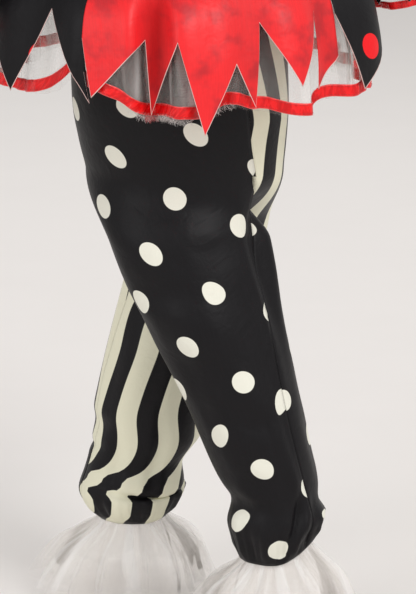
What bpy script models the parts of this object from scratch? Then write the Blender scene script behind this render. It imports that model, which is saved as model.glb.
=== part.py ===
"""Clown costume as worn: a tunic dress with a jagged skirt over net petticoats, and
pull-on trousers with one dotted and one striped leg, gathered at the ankles.

Metres, +Z up. The wearer faces -Y, so the wearer's right side is at -X. Heights in this
file are above the soles of the feet; the empty at the end puts the origin between the
shoulders, where the costume hangs from the wearer. Angles go round the body in degrees:
0 is the centre front, 90 the wearer's left side, 180 the centre back.
"""

import math

import bpy
from mathutils import Vector

# Driving dimensions
SHOULDER_HEIGHT = 0.940
WAIST_HEIGHT = 0.720
UNDERARM_HEIGHT = 0.820
CROTCH_HEIGHT = 0.470
TROUSER_HEM_HEIGHT = 0.086
RUFFLE_HEM_HEIGHT = 0.014
NECK_HALF_WIDTH = 0.066
CLOTH = 0.0012
NET = 0.0010
SEAM = 0.0003
LAYER = CLOTH + 0.0004
RIBBON_WIDTH = 0.012
SLEEVE_RIBBON_WIDTH = 0.008

# Bodice: height, half width, half depth
TORSO = (
    (0.700, 0.104, 0.087),
    (0.720, 0.103, 0.086),
    (0.760, 0.106, 0.089),
    (0.820, 0.118, 0.093),
    (0.880, 0.125, 0.092),
    (0.945, 0.130, 0.090),
)
NECK_POINT_HEIGHT = 0.945
SHOULDER_SLOPE = 0.40
SHOULDER_TIP = 0.115
SHOULDER_ROLL = 0.095
SHOULDER_GAP = 0.0004
ARMHOLE_INSET = 0.104
ARMHOLE_GAP = 0.00105
NECK_DROP_FRONT = 0.048
NECK_DROP_BACK = 0.018
NECK_BINDING_WIDTH = 0.008
NECK_BINDING_LEAN = 0.25
NECK_COLUMNS = 5
SHOULDER_COLUMNS = 4
BODICE_ROWS = 8
TOP_EDGE_STEPS = 12

# Skirt bell: height, half width, half depth, inset of the petticoat, inset of the layer under it
BELL = (
    (0.7193, 0.103, 0.086, 0.0018, 0.0033),
    (0.710, 0.116, 0.101, 0.0030, 0.0042),
    (0.695, 0.144, 0.133, 0.0060, 0.0120),
    (0.678, 0.170, 0.163, 0.0090, 0.0180),
    (0.655, 0.189, 0.185, 0.0120, 0.0240),
    (0.620, 0.198, 0.197, 0.0140, 0.0280),
    (0.580, 0.203, 0.202, 0.0150, 0.0290),
    (0.530, 0.205, 0.205, 0.0150, 0.0290),
)
# Flutes pressed into every skirt layer: angle, half width in degrees, depth (minus is inward)
FLUTES = (
    (-170, 10, -0.008),
    (-148, 9, 0.007),
    (-127, 9, -0.008),
    (-108, 8, 0.006),
    (-90, 9, -0.007),
    (-72, 8, 0.005),
    (-57, 7, -0.006),
    (-43, 6, 0.005),
    (-33, 5, 0.003),
    (-21, 6, -0.011),
    (-9, 6, 0.006),
    (6, 5, -0.007),
    (19, 6, 0.006),
    (33, 6, -0.008),
    (47, 6, 0.006),
    (62, 7, -0.005),
    (90, 10, -0.008),
    (112, 8, 0.006),
    (129, 8, -0.008),
    (147, 8, 0.006),
    (164, 7, -0.006),
)
FLUTE_TOP = 0.705
FLUTE_FULL = 0.640

# Jagged hems: angle, height. Tips and slits alternate between the two seam corners
HEM_FRONT = (
    (-41, 0.628),
    (-37.5, 0.573),
    (-24, 0.626),
    (-22.3, 0.561),
    (-14.4, 0.627),
    (-7.5, 0.539),
    (1.9, 0.604),
    (7.4, 0.562),
    (9.6, 0.641),
    (20.8, 0.579),
    (29.4, 0.646),
    (26.9, 0.574),
    (38, 0.600),
)
HEM_LEFT = (
    (38, 0.640),
    (51.7, 0.562),
    (73, 0.640),
    (84, 0.568),
    (97, 0.632),
    (108, 0.560),
    (118, 0.645),
    (129, 0.572),
    (140, 0.636),
)
HEM_BACK = (
    (140, 0.622),
    (146, 0.570),
    (157, 0.634),
    (163, 0.558),
    (171, 0.624),
    (181, 0.542),
    (190, 0.610),
    (197, 0.563),
    (203, 0.638),
    (211, 0.572),
    (219, 0.612),
)
HEM_RIGHT = (
    (-141, 0.640),
    (-130, 0.566),
    (-119, 0.632),
    (-107, 0.560),
    (-96, 0.642),
    (-84, 0.572),
    (-74, 0.618),
    (-65.8, 0.569),
    (-54, 0.650),
    (-44, 0.569),
    (-41, 0.618),
)

PETTICOAT_TOP = 0.7185
PETTICOAT_HEM = 0.559
PETTICOAT_DIP = 0.006
PETTICOAT_RIPPLE = 0.003
PETTICOAT_RIPPLES = 8
PETTICOAT_WAVES = 17
PETTICOAT_WAVE_DEPTH = 0.0085
UNDER_TOP = 0.712
UNDER_HEM = 0.552
UNDER_WAVES = 11
UNDER_WAVE_DEPTH = 0.0050
POINTS_PER_WAVE = 5
# The under layer is cut in four gores; these are the columns of their seams
UNDER_GORES = (("front", 49, 61), ("left", 6, 21), ("back", 21, 34), ("right", 34, 49))
GORE_SEAM = 0.0007
# The waves of a net layer drift this many degrees from an even spacing round it
WAVE_DRIFT = 40
# Rows crowd towards the waist, where the layers turn down: powers of the share of the length
SKIRT_FALL = 1.5
NET_FALL = 1.3
# A panel's side edges stand off by this much more than half the seam, as they run slantwise
SKIRT_SEAM_LEAN = 2.2

# Sleeve in the plane of the arm: inner x, inner height, outer x, outer height, half depth
SLEEVE = (
    (0.1225, 0.798, 0.156, 0.913, 0.052),
    (0.1310, 0.773, 0.192, 0.878, 0.053),
    (0.1450, 0.745, 0.219, 0.828, 0.052),
    (0.1650, 0.715, 0.242, 0.772, 0.050),
    (0.1840, 0.681, 0.264, 0.714, 0.049),
    (0.2030, 0.646, 0.288, 0.667, 0.051),
)
SLEEVE_POINTS = 8
SLEEVE_POINT_LENGTH = 0.022
SLEEVE_NET_LENGTH = 0.040
SLEEVE_NET_TUCK = 0.012
SLEEVE_NET_WAVES = 6
SLEEVE_NET_ROWS = 3
SLEEVE_NET_WAVE_DEPTH = 0.0025
SLEEVE_NET_INSET = 0.8

# Trouser body above the crotch: height, centre x, half width, half depth, angle of the front
# seam, which the crossed legs drag round to the wearer's left
HIPS = (
    (0.455, 0.008, 0.098, 0.088, 33),
    (0.470, 0.007, 0.100, 0.088, 32),
    (0.500, 0.005, 0.105, 0.089, 28),
    (0.535, 0.003, 0.109, 0.089, 26),
    (0.600, 0.001, 0.108, 0.088, 16),
    (0.660, 0.000, 0.103, 0.086, 6),
    (0.712, 0.000, 0.0990, 0.0820, 0),
    (0.727, 0.000, 0.0986, 0.0816, 0),
)
WAISTBAND_WIDTH = 0.026
WAISTBAND_INSET = 0.0024
WAISTBAND_LIFT = 0.001
WAISTBAND_COLUMNS = 42
BODY_ROWS = (0.727, 0.700, 0.650, 0.600, 0.550, 0.508, 0.470)
# Legs below the crotch: height, centre x, centre y, half width, half depth
LEG_DOTTED = (
    (0.470, -0.016, -0.034, 0.084, 0.056),
    (0.429, -0.008, -0.046, 0.081, 0.054),
    (0.375, 0.004, -0.061, 0.076, 0.053),
    (0.316, 0.021, -0.074, 0.068, 0.053),
    (0.246, 0.044, -0.086, 0.058, 0.052),
    (0.210, 0.054, -0.092, 0.054, 0.050),
    (0.174, 0.065, -0.097, 0.050, 0.047),
    (0.146, 0.074, -0.101, 0.045, 0.043),
    (0.122, 0.075, -0.102, 0.049, 0.046),
    (0.104, 0.074, -0.102, 0.043, 0.042),
    (0.086, 0.073, -0.102, 0.036, 0.036),
)
LEG_STRIPED = (
    (0.470, 0.036, 0.034, 0.074, 0.056),
    (0.429, 0.040, 0.045, 0.070, 0.055),
    (0.386, 0.038, 0.056, 0.068, 0.054),
    (0.332, 0.027, 0.062, 0.069, 0.054),
    (0.284, 0.010, 0.066, 0.064, 0.054),
    (0.212, -0.012, 0.069, 0.058, 0.053),
    (0.173, -0.017, 0.070, 0.057, 0.052),
    (0.138, -0.030, 0.070, 0.050, 0.047),
    (0.114, -0.032, 0.069, 0.055, 0.051),
    (0.099, -0.033, 0.068, 0.048, 0.046),
    (0.086, -0.032, 0.068, 0.036, 0.036),
)
LEG_ROWS = (0.452, 0.432, 0.410, 0.384, 0.348, 0.305, 0.260, 0.215, 0.176, 0.148, 0.128, 0.109, 0.098, 0.086)
LEG_BLEND = 0.065
DIVIDE_BLEND = 0.085
DIVIDE_ANGLE = 68
LEG_PARTING = 3
# Creases pressed into a leg: angle, height, half width in degrees, half height, depth. A crease
# fades out at this multiple of its half width
CREASE_REACH = 1.6
CREASES_DOTTED = (
    (52, 0.410, 12, 0.080, -0.007),
    (72, 0.400, 12, 0.080, 0.004),
    (-30, 0.330, 30, 0.030, 0.004),
    (-45, 0.285, 30, 0.022, -0.004),
    (60, 0.128, 28, 0.016, -0.005),
    (-65, 0.147, 34, 0.012, -0.004),
    (170, 0.300, 34, 0.024, -0.005),
    (185, 0.250, 34, 0.022, 0.003),
)
CREASES_STRIPED = (
    (-85, 0.186, 34, 0.013, -0.005),
    (-10, 0.112, 60, 0.010, -0.005),
    (80, 0.150, 34, 0.014, -0.004),
    (20, 0.230, 16, 0.050, -0.004),
    (-40, 0.250, 16, 0.060, 0.004),
    (175, 0.310, 34, 0.026, -0.005),
    (150, 0.180, 30, 0.016, 0.004),
)
LEG_CLEARANCE = 0.003
# Gap along the front and back seams of the trouser body, between the two legs' pieces
CROTCH_SEAM = 0.00036
# Columns round a leg run over its outer side, then its inner side. The first one, on the front
# seam, is at this angle of the leg's own oval; the outer columns take up the span after it.
# The cloth twists on the leg by this much, most of it near the crotch
OUTER_COLUMNS = 18
INNER_COLUMNS = 10
OUTER_SPAN = 229
FIRST_ANGLE = {-1: 55, 1: 15}
LEG_TWIST = {-1: -36, 1: -35}
TWIST_HEIGHT = 0.300
# The front and back of a leg meet at these columns; their edges stand this far apart
SIDE_COLUMN = {-1: 13, 1: 9}
INSEAM_COLUMN = {-1: 27, 1: 23}
LEG_SEAM = 0.0007
ANKLE_GATHERS = 9
GATHER_DEPTH = 0.0022
GATHER_HEIGHT = 0.060
GATHER_SETTLE = 0.012

# Ankle ruffle: height above its hem, radius, wave depth
RUFFLE = (
    (0.000, 0.080, 0.0085),
    (0.022, 0.071, 0.0080),
    (0.045, 0.055, 0.0055),
    (0.062, 0.0375, 0.0016),
    (0.070, 0.0339, 0.0),
    (0.076, 0.0338, 0.0),
    (0.082, 0.0338, 0.0),
)
RUFFLE_WAVES = 10
RUFFLE_COLUMNS = 50
RUFFLE_DRIFT = 0.6
RUFFLE_LIFT = 0.006
RUFFLE_LOWEST_LIFT = -0.004
RUFFLE_ROWS = (0.082, 0.069, 0.048, 0.0)

COLOURS = {
    "red": (0.62, 0.012, 0.018),
    "black": (0.010, 0.010, 0.012),
    "net": (0.66, 0.62, 0.56),
    "ribbon": (0.72, 0.015, 0.02),
    "cream": (0.82, 0.80, 0.66),
}

collection = bpy.data.collections.new("clown costume")


def clear_scene():
    for obj in list(bpy.data.objects):
        bpy.data.objects.remove(obj, do_unlink=True)
    bpy.context.scene.collection.children.link(collection)


def material(name, colour, roughness):
    made = bpy.data.materials.new(name)
    made.use_nodes = True
    shader = made.node_tree.nodes["Principled BSDF"]
    shader.inputs["Base Color"].default_value = (*COLOURS[colour], 1.0)
    shader.inputs["Roughness"].default_value = roughness
    return made


def read(table, height):
    """The columns after the first at this height, by a smooth curve through the rows."""
    rows = sorted(table)
    height = min(max(height, rows[0][0]), rows[-1][0])
    i = max(k for k in range(len(rows) - 1) if rows[k][0] <= height)
    low, high = rows[i], rows[i + 1]
    before, after = rows[max(i - 1, 0)], rows[min(i + 2, len(rows) - 1)]
    span = high[0] - low[0]
    t = (height - low[0]) / span
    found = []
    for c in range(1, len(low)):
        slope_low = (high[c] - before[c]) / (high[0] - before[0]) * span
        slope_high = (after[c] - low[c]) / (after[0] - low[0]) * span
        found.append(
            (2 * t**3 - 3 * t**2 + 1) * low[c]
            + (t**3 - 2 * t**2 + t) * slope_low
            + (3 * t**2 - 2 * t**3) * high[c]
            + (t**3 - t**2) * slope_high
        )
    return found


def ease(t):
    t = min(max(t, 0.0), 1.0)
    return t * t * (3 - 2 * t)


def turned_from(angle, centre):
    """How far round the body an angle is from another, in degrees."""
    return abs((angle - centre + 180) % 360 - 180)


def ellipse(angle, half_width, half_depth):
    turn = math.radians(angle)
    return half_width * math.sin(turn), -half_depth * math.cos(turn)


def cloth(name, rows, closed, finish, thickness=CLOTH, flip=False):
    """A sheet through rows of points, top row first, thickened to a wall. Two rows of unlike
    length are joined over the columns that both have, as above a leg's crotch."""
    points = []
    starts = []
    for row in rows:
        starts.append(len(points))
        points.extend(row)
    full = max(len(row) for row in rows)
    faces = []
    for upper, lower, first, second in zip(rows, rows[1:], starts, starts[1:]):
        count = min(len(upper), len(lower))
        loop = closed and count == full
        for i in range(count if loop else count - 1):
            k = (i + 1) % count
            face = (first + i, second + i, second + k, first + k)
            faces.append(face[::-1] if flip else face)
    mesh = bpy.data.meshes.new(name)
    mesh.from_pydata([Vector(p) for p in points], [], faces)
    mesh.shade_smooth()
    obj = bpy.data.objects.new(name, mesh)
    obj.data.materials.append(finish)
    wall = obj.modifiers.new("wall", "SOLIDIFY")
    wall.thickness = thickness
    wall.offset = 0.0
    collection.objects.link(obj)
    return obj


def moved_out(rows, distance, closed=True):
    """The rows of points moved along the sheet's own normals, for a strip that lies on it."""
    moved = []
    for r, row in enumerate(rows):
        above, below = rows[max(r - 1, 0)], rows[min(r + 1, len(rows) - 1)]
        made = []
        for i, point in enumerate(row):
            after = row[(i + 1) % len(row)] if closed else row[min(i + 1, len(row) - 1)]
            before = row[i - 1] if closed or i else row[0]
            along = Vector(after) - Vector(before)
            down = Vector(below[i]) - Vector(above[i])
            made.append(Vector(point) + distance * down.cross(along).normalized())
        moved.append(made)
    return moved


# Bodice


def shoulder_line(x):
    return NECK_POINT_HEIGHT - SHOULDER_SLOPE * max(0.0, abs(x) - NECK_HALF_WIDTH)


def torso(angle, height, facing):
    """A point on the body of the tunic: facing is 1 on the front and -1 on the back."""
    half_width, half_depth = read(TORSO, height)
    x, y = ellipse(angle, half_width, half_depth)
    drop = min(1.0, max(0.0, shoulder_line(x) - height) / SHOULDER_ROLL)
    roll = math.sqrt(1 - (1 - drop) ** 2)
    return x, facing * (y * roll - SEAM / 2 - SHOULDER_GAP * (1 - roll)), height


def armhole_angle(height):
    """How far round from the centre a bodice piece reaches: its side seam, then the armhole."""
    if height <= UNDERARM_HEIGHT:
        return 90.0
    half_width = read(TORSO, height)[0]
    tip_height = shoulder_line(SHOULDER_TIP)
    t = min(1.0, (height - UNDERARM_HEIGHT) / (tip_height - UNDERARM_HEIGHT))
    side = read(TORSO, UNDERARM_HEIGHT)[0]
    edge = ARMHOLE_INSET + (side - ARMHOLE_INSET) * (1 - t) ** 5 + (SHOULDER_TIP - ARMHOLE_INSET) * t**2
    return math.degrees(math.asin(min(1.0, edge / half_width)))


def shoulder_share(x):
    """The share of the bodice's width, from the centre, that lies at this x at the shoulder."""
    height = shoulder_line(x)
    return math.degrees(math.asin(x / read(TORSO, height)[0])) / armhole_angle(height)


def bodice_shares():
    """Column places from the centre to the side: evenly over the neck, then the shoulder."""
    neck = shoulder_share(NECK_HALF_WIDTH)
    over_neck = [neck * c / NECK_COLUMNS for c in range(NECK_COLUMNS)]
    return over_neck + [neck + (1 - neck) * c / SHOULDER_COLUMNS for c in range(SHOULDER_COLUMNS + 1)]


def bodice_top(share, neck_drop):
    """Height of the top edge, for a column at this share of the width: neck, then shoulder."""
    on_neck = abs(share) < shoulder_share(NECK_HALF_WIDTH) - 1e-6
    height = NECK_POINT_HEIGHT
    for _ in range(TOP_EDGE_STEPS):
        x = read(TORSO, height)[0] * math.sin(math.radians(abs(share) * armhole_angle(height)))
        height = shoulder_line(x)
        if on_neck:
            height -= neck_drop * math.sqrt(max(0.0, 1 - (x / NECK_HALF_WIDTH) ** 2))
    return height


def bodice_rows(shares, facing, neck_drop, opening=0.0):
    bottom = WAIST_HEIGHT + SEAM / 2
    rows = []
    for r in range(BODICE_ROWS + 1):
        row = []
        for share in shares:
            height = bottom + (bodice_top(share, neck_drop) - bottom) * (1 - r / BODICE_ROWS)
            x, y, z = torso(share * armhole_angle(height), height, facing)
            row.append((x + opening, y, z))
        rows.append(row if facing > 0 else row[::-1])
    return rows


def neck_binding(front, back_left, back_right, finish):
    """A narrow upright band on the neck edge, made from the bodice's own top points."""
    edge = front[0][SHOULDER_COLUMNS : -SHOULDER_COLUMNS]
    edge = edge + back_left[0][SHOULDER_COLUMNS + 1 :] + back_right[0][1 : -SHOULDER_COLUMNS - 1]
    rows = []
    for rise in (NECK_BINDING_WIDTH, 0.0):
        inward = 1 - NECK_BINDING_LEAN * rise / NECK_HALF_WIDTH
        lift = CLOTH / 2 + SEAM + rise
        rows.append([(x * inward, y * inward, z + lift) for x, y, z in edge])
    return cloth("neck_binding", rows, True, finish)


# Skirt layers


def bell(angle, height, layer):
    """A point on a skirt layer: 0 is the skirt, 1 the petticoat, 2 the net under it."""
    values = read(BELL, height)
    lower = read(BELL, height - 0.002)
    lift = Vector((lower[0] - values[0], 0.0, -0.002)).normalized()
    inset = 0.0 if layer == 0 else values[1 + layer]
    x, y = ellipse(angle, values[0], values[1])
    out = Vector((x, y, 0.0)).normalized()
    point = Vector((x, y, height)) + inset * (out * lift.z - Vector((0, 0, lift.x)))
    depth = 0.0
    for centre, half, amount in FLUTES:
        apart = turned_from(angle, centre) / half
        if apart < 2:
            depth += amount * ease(1 - apart / 2)
    return point + out * depth * ease((FLUTE_TOP - height) / (FLUTE_TOP - FLUTE_FULL)), out


def skirt_panel(name, hem, finish, steps=3, row_count=6):
    """A panel from the waist seam down to its jagged hem. Each tip hangs from midway between
    the two slits beside it."""
    tops = [angle for angle, _ in hem]
    for k in range(1, len(hem) - 1, 2):
        tops[k] = (hem[k - 1][0] + hem[k + 1][0]) / 2
    edge = math.degrees(SEAM / 2 / BELL[-1][1]) * SKIRT_SEAM_LEAN
    columns = []
    for k in range(len(hem) - 1):
        for s in range(steps):
            t = s / steps
            columns.append([a + (b - a) * t for a, b in zip((tops[k], *hem[k]), (tops[k + 1], *hem[k + 1]))])
    columns.append([tops[-1], *hem[-1]])
    columns[0] = [columns[0][0] + edge, columns[0][1] + edge, columns[0][2]]
    columns[-1] = [columns[-1][0] - edge, columns[-1][1] - edge, columns[-1][2]]
    rows = []
    for r in range(row_count + 1):
        t = r / row_count
        fall = t**SKIRT_FALL
        row = []
        for top, angle, height in columns:
            place = bell(top + (angle - top) * t, BELL[0][0] + (height - BELL[0][0]) * fall, 0)[0]
            row.append(place)
        rows.append(row)
    return cloth(name, rows, False, finish)


def petticoat_hem(angle):
    """The ruffle's hem dips at the front and rises and falls with its waves."""
    turn = math.radians(angle)
    ripple = PETTICOAT_RIPPLE * math.sin(PETTICOAT_RIPPLES * turn + 1.0)
    return PETTICOAT_HEM - PETTICOAT_DIP * math.cos(turn - 0.2) + ripple


def under_hem(angle):
    return petticoat_hem(angle) + UNDER_HEM - PETTICOAT_HEM


def net_layer(layer, top, hem, waves, wave_depth, row_count):
    columns = waves * POINTS_PER_WAVE
    rows = []
    for r in range(row_count + 1):
        row = []
        for c in range(columns):
            angle = 360 * c / columns
            height = top + (hem(angle) - top) * (r / row_count) ** NET_FALL
            point, out = bell(angle, height, layer)
            turn = math.radians(waves * angle + WAVE_DRIFT * math.sin(math.radians(3 * angle)))
            grown = ease((top - height) / (top - hem(angle)))
            row.append(point + out * wave_depth * grown * math.sin(turn))
        rows.append(row)
    return rows


def gore(rows, first, last):
    """The part of a ring of cloth from one seam to the next, with both its edges drawn in."""
    piece = []
    for row in rows:
        points = [Vector(row[c % len(row)]) for c in range(first, last + 1)]
        points[0] += (points[1] - points[0]).normalized() * GORE_SEAM / 2
        points[-1] += (points[-2] - points[-1]).normalized() * GORE_SEAM / 2
        piece.append(points)
    return piece


def lower_strip(rows, width):
    """The band of this width along the last row of a sheet, as two rows."""
    last, before = rows[-1], rows[-2]
    return [[Vector(a) + (Vector(b) - Vector(a)).normalized() * width for a, b in zip(last, before)], last]


# Sleeves


def armhole(angle, side):
    """A point of the armhole edge: -90 is the underarm, 0 the front, 90 the shoulder."""
    tip = shoulder_line(SHOULDER_TIP)
    middle = (UNDERARM_HEIGHT + tip) / 2
    height = middle + (tip - UNDERARM_HEIGHT) / 2 * math.sin(math.radians(angle))
    facing = 1 if math.cos(math.radians(angle)) >= 0 else -1
    x, y, z = torso(armhole_angle(height), height, facing)
    return Vector((side * x, y, z))


def sleeve_ring(row, angle, side, shrink=0.0):
    inner_x, inner_z, outer_x, outer_z, half_depth = row
    middle = Vector(((inner_x + outer_x) / 2, 0, (inner_z + outer_z) / 2))
    out = Vector(((outer_x - inner_x) / 2, 0, (outer_z - inner_z) / 2))
    turn = math.radians(angle)
    point = middle + out * (1 - shrink / out.length) * math.sin(turn)
    point.y = -(half_depth - shrink) * math.cos(turn)
    point.x *= side
    return point


def sleeve_fall(side):
    """Unit direction down the end of the sleeve."""
    last = SLEEVE[-1]
    across = Vector((last[2] - last[0], 0, last[3] - last[1])).normalized()
    return Vector((side * across.z, 0, -across.x))


def sleeve(name, side, finish):
    columns = 2 * SLEEVE_POINTS
    angles = [-90 + 360 * c / columns for c in range(columns)]
    first = []
    for angle in angles:
        point = armhole(angle, side)
        point.x += side * (CLOTH / 2 + ARMHOLE_GAP)
        point.z += CLOTH * max(0.0, -math.sin(math.radians(angle)))
        first.append(point)
    rows = [first]
    rows += [[sleeve_ring(row, angle, side) for angle in angles] for row in SLEEVE]
    rows.append(
        [p + sleeve_fall(side) * SLEEVE_POINT_LENGTH * (c % 2) for c, p in enumerate(rows[-1])]
    )
    return cloth(name, rows, True, finish, flip=side > 0)


def sleeve_net_rows(side):
    """The net frill, from a little inside the sleeve's end to its ribboned hem."""
    columns = SLEEVE_NET_WAVES * 4
    end_length = math.dist(SLEEVE[-2][2:4], SLEEVE[-1][2:4])
    tuck = SLEEVE_NET_TUCK / end_length
    tucked = [b + (a - b) * tuck for a, b in zip(SLEEVE[-2], SLEEVE[-1])]
    below = SLEEVE_NET_LENGTH - SLEEVE_NET_TUCK
    rows = [[sleeve_ring(tucked, -90 + 360 * c / columns, side, 2 * LAYER) for c in range(columns)]]
    for step in range(SLEEVE_NET_ROWS):
        t = step / (SLEEVE_NET_ROWS - 1)
        row = []
        for c in range(columns):
            wave = SLEEVE_NET_WAVE_DEPTH * t * (SLEEVE_NET_INSET + math.sin(math.pi / 2 * c))
            point = sleeve_ring(SLEEVE[-1], -90 + 360 * c / columns, side, 2 * LAYER + wave)
            row.append(point + sleeve_fall(side) * t * below)
        rows.append(row)
    return rows


# Trousers


def hip_point(height, share, side):
    """A point of the trouser body, from the front seam (0) round one side to the back seam (1)."""
    centre, half_width, half_depth, seam = read(HIPS, height)
    edge = math.degrees(CROTCH_SEAM / 2 / half_depth)
    angle = seam + side * (edge + share * (180 - 2 * edge))
    x, y = ellipse(angle, half_width, half_depth)
    return Vector((centre + x, y, height))


def kept_apart(point, height, side):
    """The point, moved back where needed to its own leg's side of the gap between the legs,
    which turns from the slanting crotch seam to run more nearly across."""
    turn = ease((CROTCH_HEIGHT - height) / DIVIDE_BLEND)
    centre, _, _, seam = read(HIPS, CROTCH_HEIGHT)
    dotted, striped = read(LEG_DOTTED, height), read(LEG_STRIPED, height)
    middle = Vector((centre, 0, height)).lerp(
        Vector(((dotted[0] + striped[0]) / 2, (dotted[1] + striped[1]) / 2, height)), turn
    )
    along = math.radians(seam + (DIVIDE_ANGLE - seam) * turn)
    away = Vector((math.cos(along), math.sin(along), 0)) * side
    clear = CLOTH / 2 + SEAM + LEG_CLEARANCE * min(1.0, LEG_PARTING * turn)
    return point + away * max(0.0, clear - (point - middle).dot(away))


def crease(creases, angle, height):
    depth = 0.0
    for centre, middle, half, half_height, amount in creases:
        apart = math.hypot(turned_from(angle, centre) / half, (height - middle) / half_height)
        depth += amount * ease(1 - apart / CREASE_REACH)
    return depth


def leg_ring(table, creases, height, side):
    """A ring of one leg: half the body's oval at the crotch, easing to the leg's own oval."""
    x, y, half_width, half_depth = read(table, height)
    own = ease((CROTCH_HEIGHT - height) / LEG_BLEND)
    twisted = 1 - (1 - min(1.0, (CROTCH_HEIGHT - height) / TWIST_HEIGHT)) ** 2
    start = FIRST_ANGLE[side] + LEG_TWIST[side] * twisted
    front, back = (hip_point(CROTCH_HEIGHT, end, side) for end in (0, 1))
    ring = []
    for c in range(OUTER_COLUMNS + INNER_COLUMNS):
        if c <= OUTER_COLUMNS:
            share = c / OUTER_COLUMNS
            body = hip_point(CROTCH_HEIGHT, share, side)
            angle = start + side * OUTER_SPAN * share
        else:
            share = (c - OUTER_COLUMNS) / INNER_COLUMNS
            body = back.lerp(front, share)
            angle = start + side * (OUTER_SPAN + (360 - OUTER_SPAN) * share)
        gather = math.sin(math.radians(ANKLE_GATHERS * angle)) * GATHER_DEPTH
        gather *= ease((TROUSER_HEM_HEIGHT + GATHER_HEIGHT - height) / GATHER_HEIGHT)
        gather *= ease((height - TROUSER_HEM_HEIGHT) / GATHER_SETTLE)
        swell = gather + crease(creases, angle, height)
        leg_x, leg_y = ellipse(angle, half_width + swell, half_depth + swell)
        body.z = height
        point = body.lerp(Vector((x + leg_x, y + leg_y, height)), own)
        ring.append(kept_apart(point, height, side))
    return ring


def trouser_rows(table, creases, side):
    """One side of the trousers: half rings down to the crotch, then whole rings down the leg."""
    rows = []
    for height in BODY_ROWS[:-1]:
        rows.append([hip_point(height, c / OUTER_COLUMNS, side) for c in range(OUTER_COLUMNS + 1)])
    rows.append(leg_ring(table, creases, CROTCH_HEIGHT, side))
    return rows + [leg_ring(table, creases, height, side) for height in LEG_ROWS]


def trouser_piece(name, rows, side, step, finish):
    """A front (step -1) or back (step 1), from the side seam to the crotch seam and inseam."""
    around = OUTER_COLUMNS + INNER_COLUMNS
    first = SIDE_COLUMN[side]
    to_crotch = first if step < 0 else OUTER_COLUMNS - first
    to_inseam = step * (INSEAM_COLUMN[side] - first) % around
    piece = []
    for row in rows:
        whole = len(row) == around
        reach = to_inseam if whole else to_crotch
        points = [Vector(row[(first + step * c) % len(row)]) for c in range(reach + 1)]
        points[0] += (points[1] - points[0]).normalized() * LEG_SEAM / 2
        if whole:
            points[-1] += (points[-2] - points[-1]).normalized() * LEG_SEAM / 2
        piece.append(points)
    return cloth(name, piece, False, finish, flip=side * step > 0)


def waistband(finish):
    columns = WAISTBAND_COLUMNS
    rows = []
    for height in (WAIST_HEIGHT + WAISTBAND_WIDTH, WAIST_HEIGHT + WAISTBAND_LIFT):
        half_width, half_depth = (size - WAISTBAND_INSET for size in read(TORSO, height))
        rows.append([(*ellipse(360 * c / columns, half_width, half_depth), height) for c in range(columns)])
    return cloth("trouser_waistband", rows, True, finish)


def ankle_ruffle(name, table, finish, phase):
    x, y = read(table, TROUSER_HEM_HEIGHT)[:2]
    rows = []
    for rise in RUFFLE_ROWS:
        radius, depth = read(RUFFLE, rise)
        row = []
        for c in range(RUFFLE_COLUMNS):
            turn = 2 * math.pi * c / RUFFLE_COLUMNS
            wave = depth * math.sin(RUFFLE_WAVES * turn + phase + RUFFLE_DRIFT * math.sin(2 * turn))
            reach = radius + wave
            lift = RUFFLE_LIFT * math.sin(3 * turn + phase) * (1 - rise / RUFFLE_ROWS[0])
            height = RUFFLE_HEM_HEIGHT + rise + max(lift, RUFFLE_LOWEST_LIFT)
            row.append((x + reach * math.sin(turn), y - reach * math.cos(turn), height))
        rows.append(row)
    return cloth(name, rows, True, finish, NET)


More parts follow.
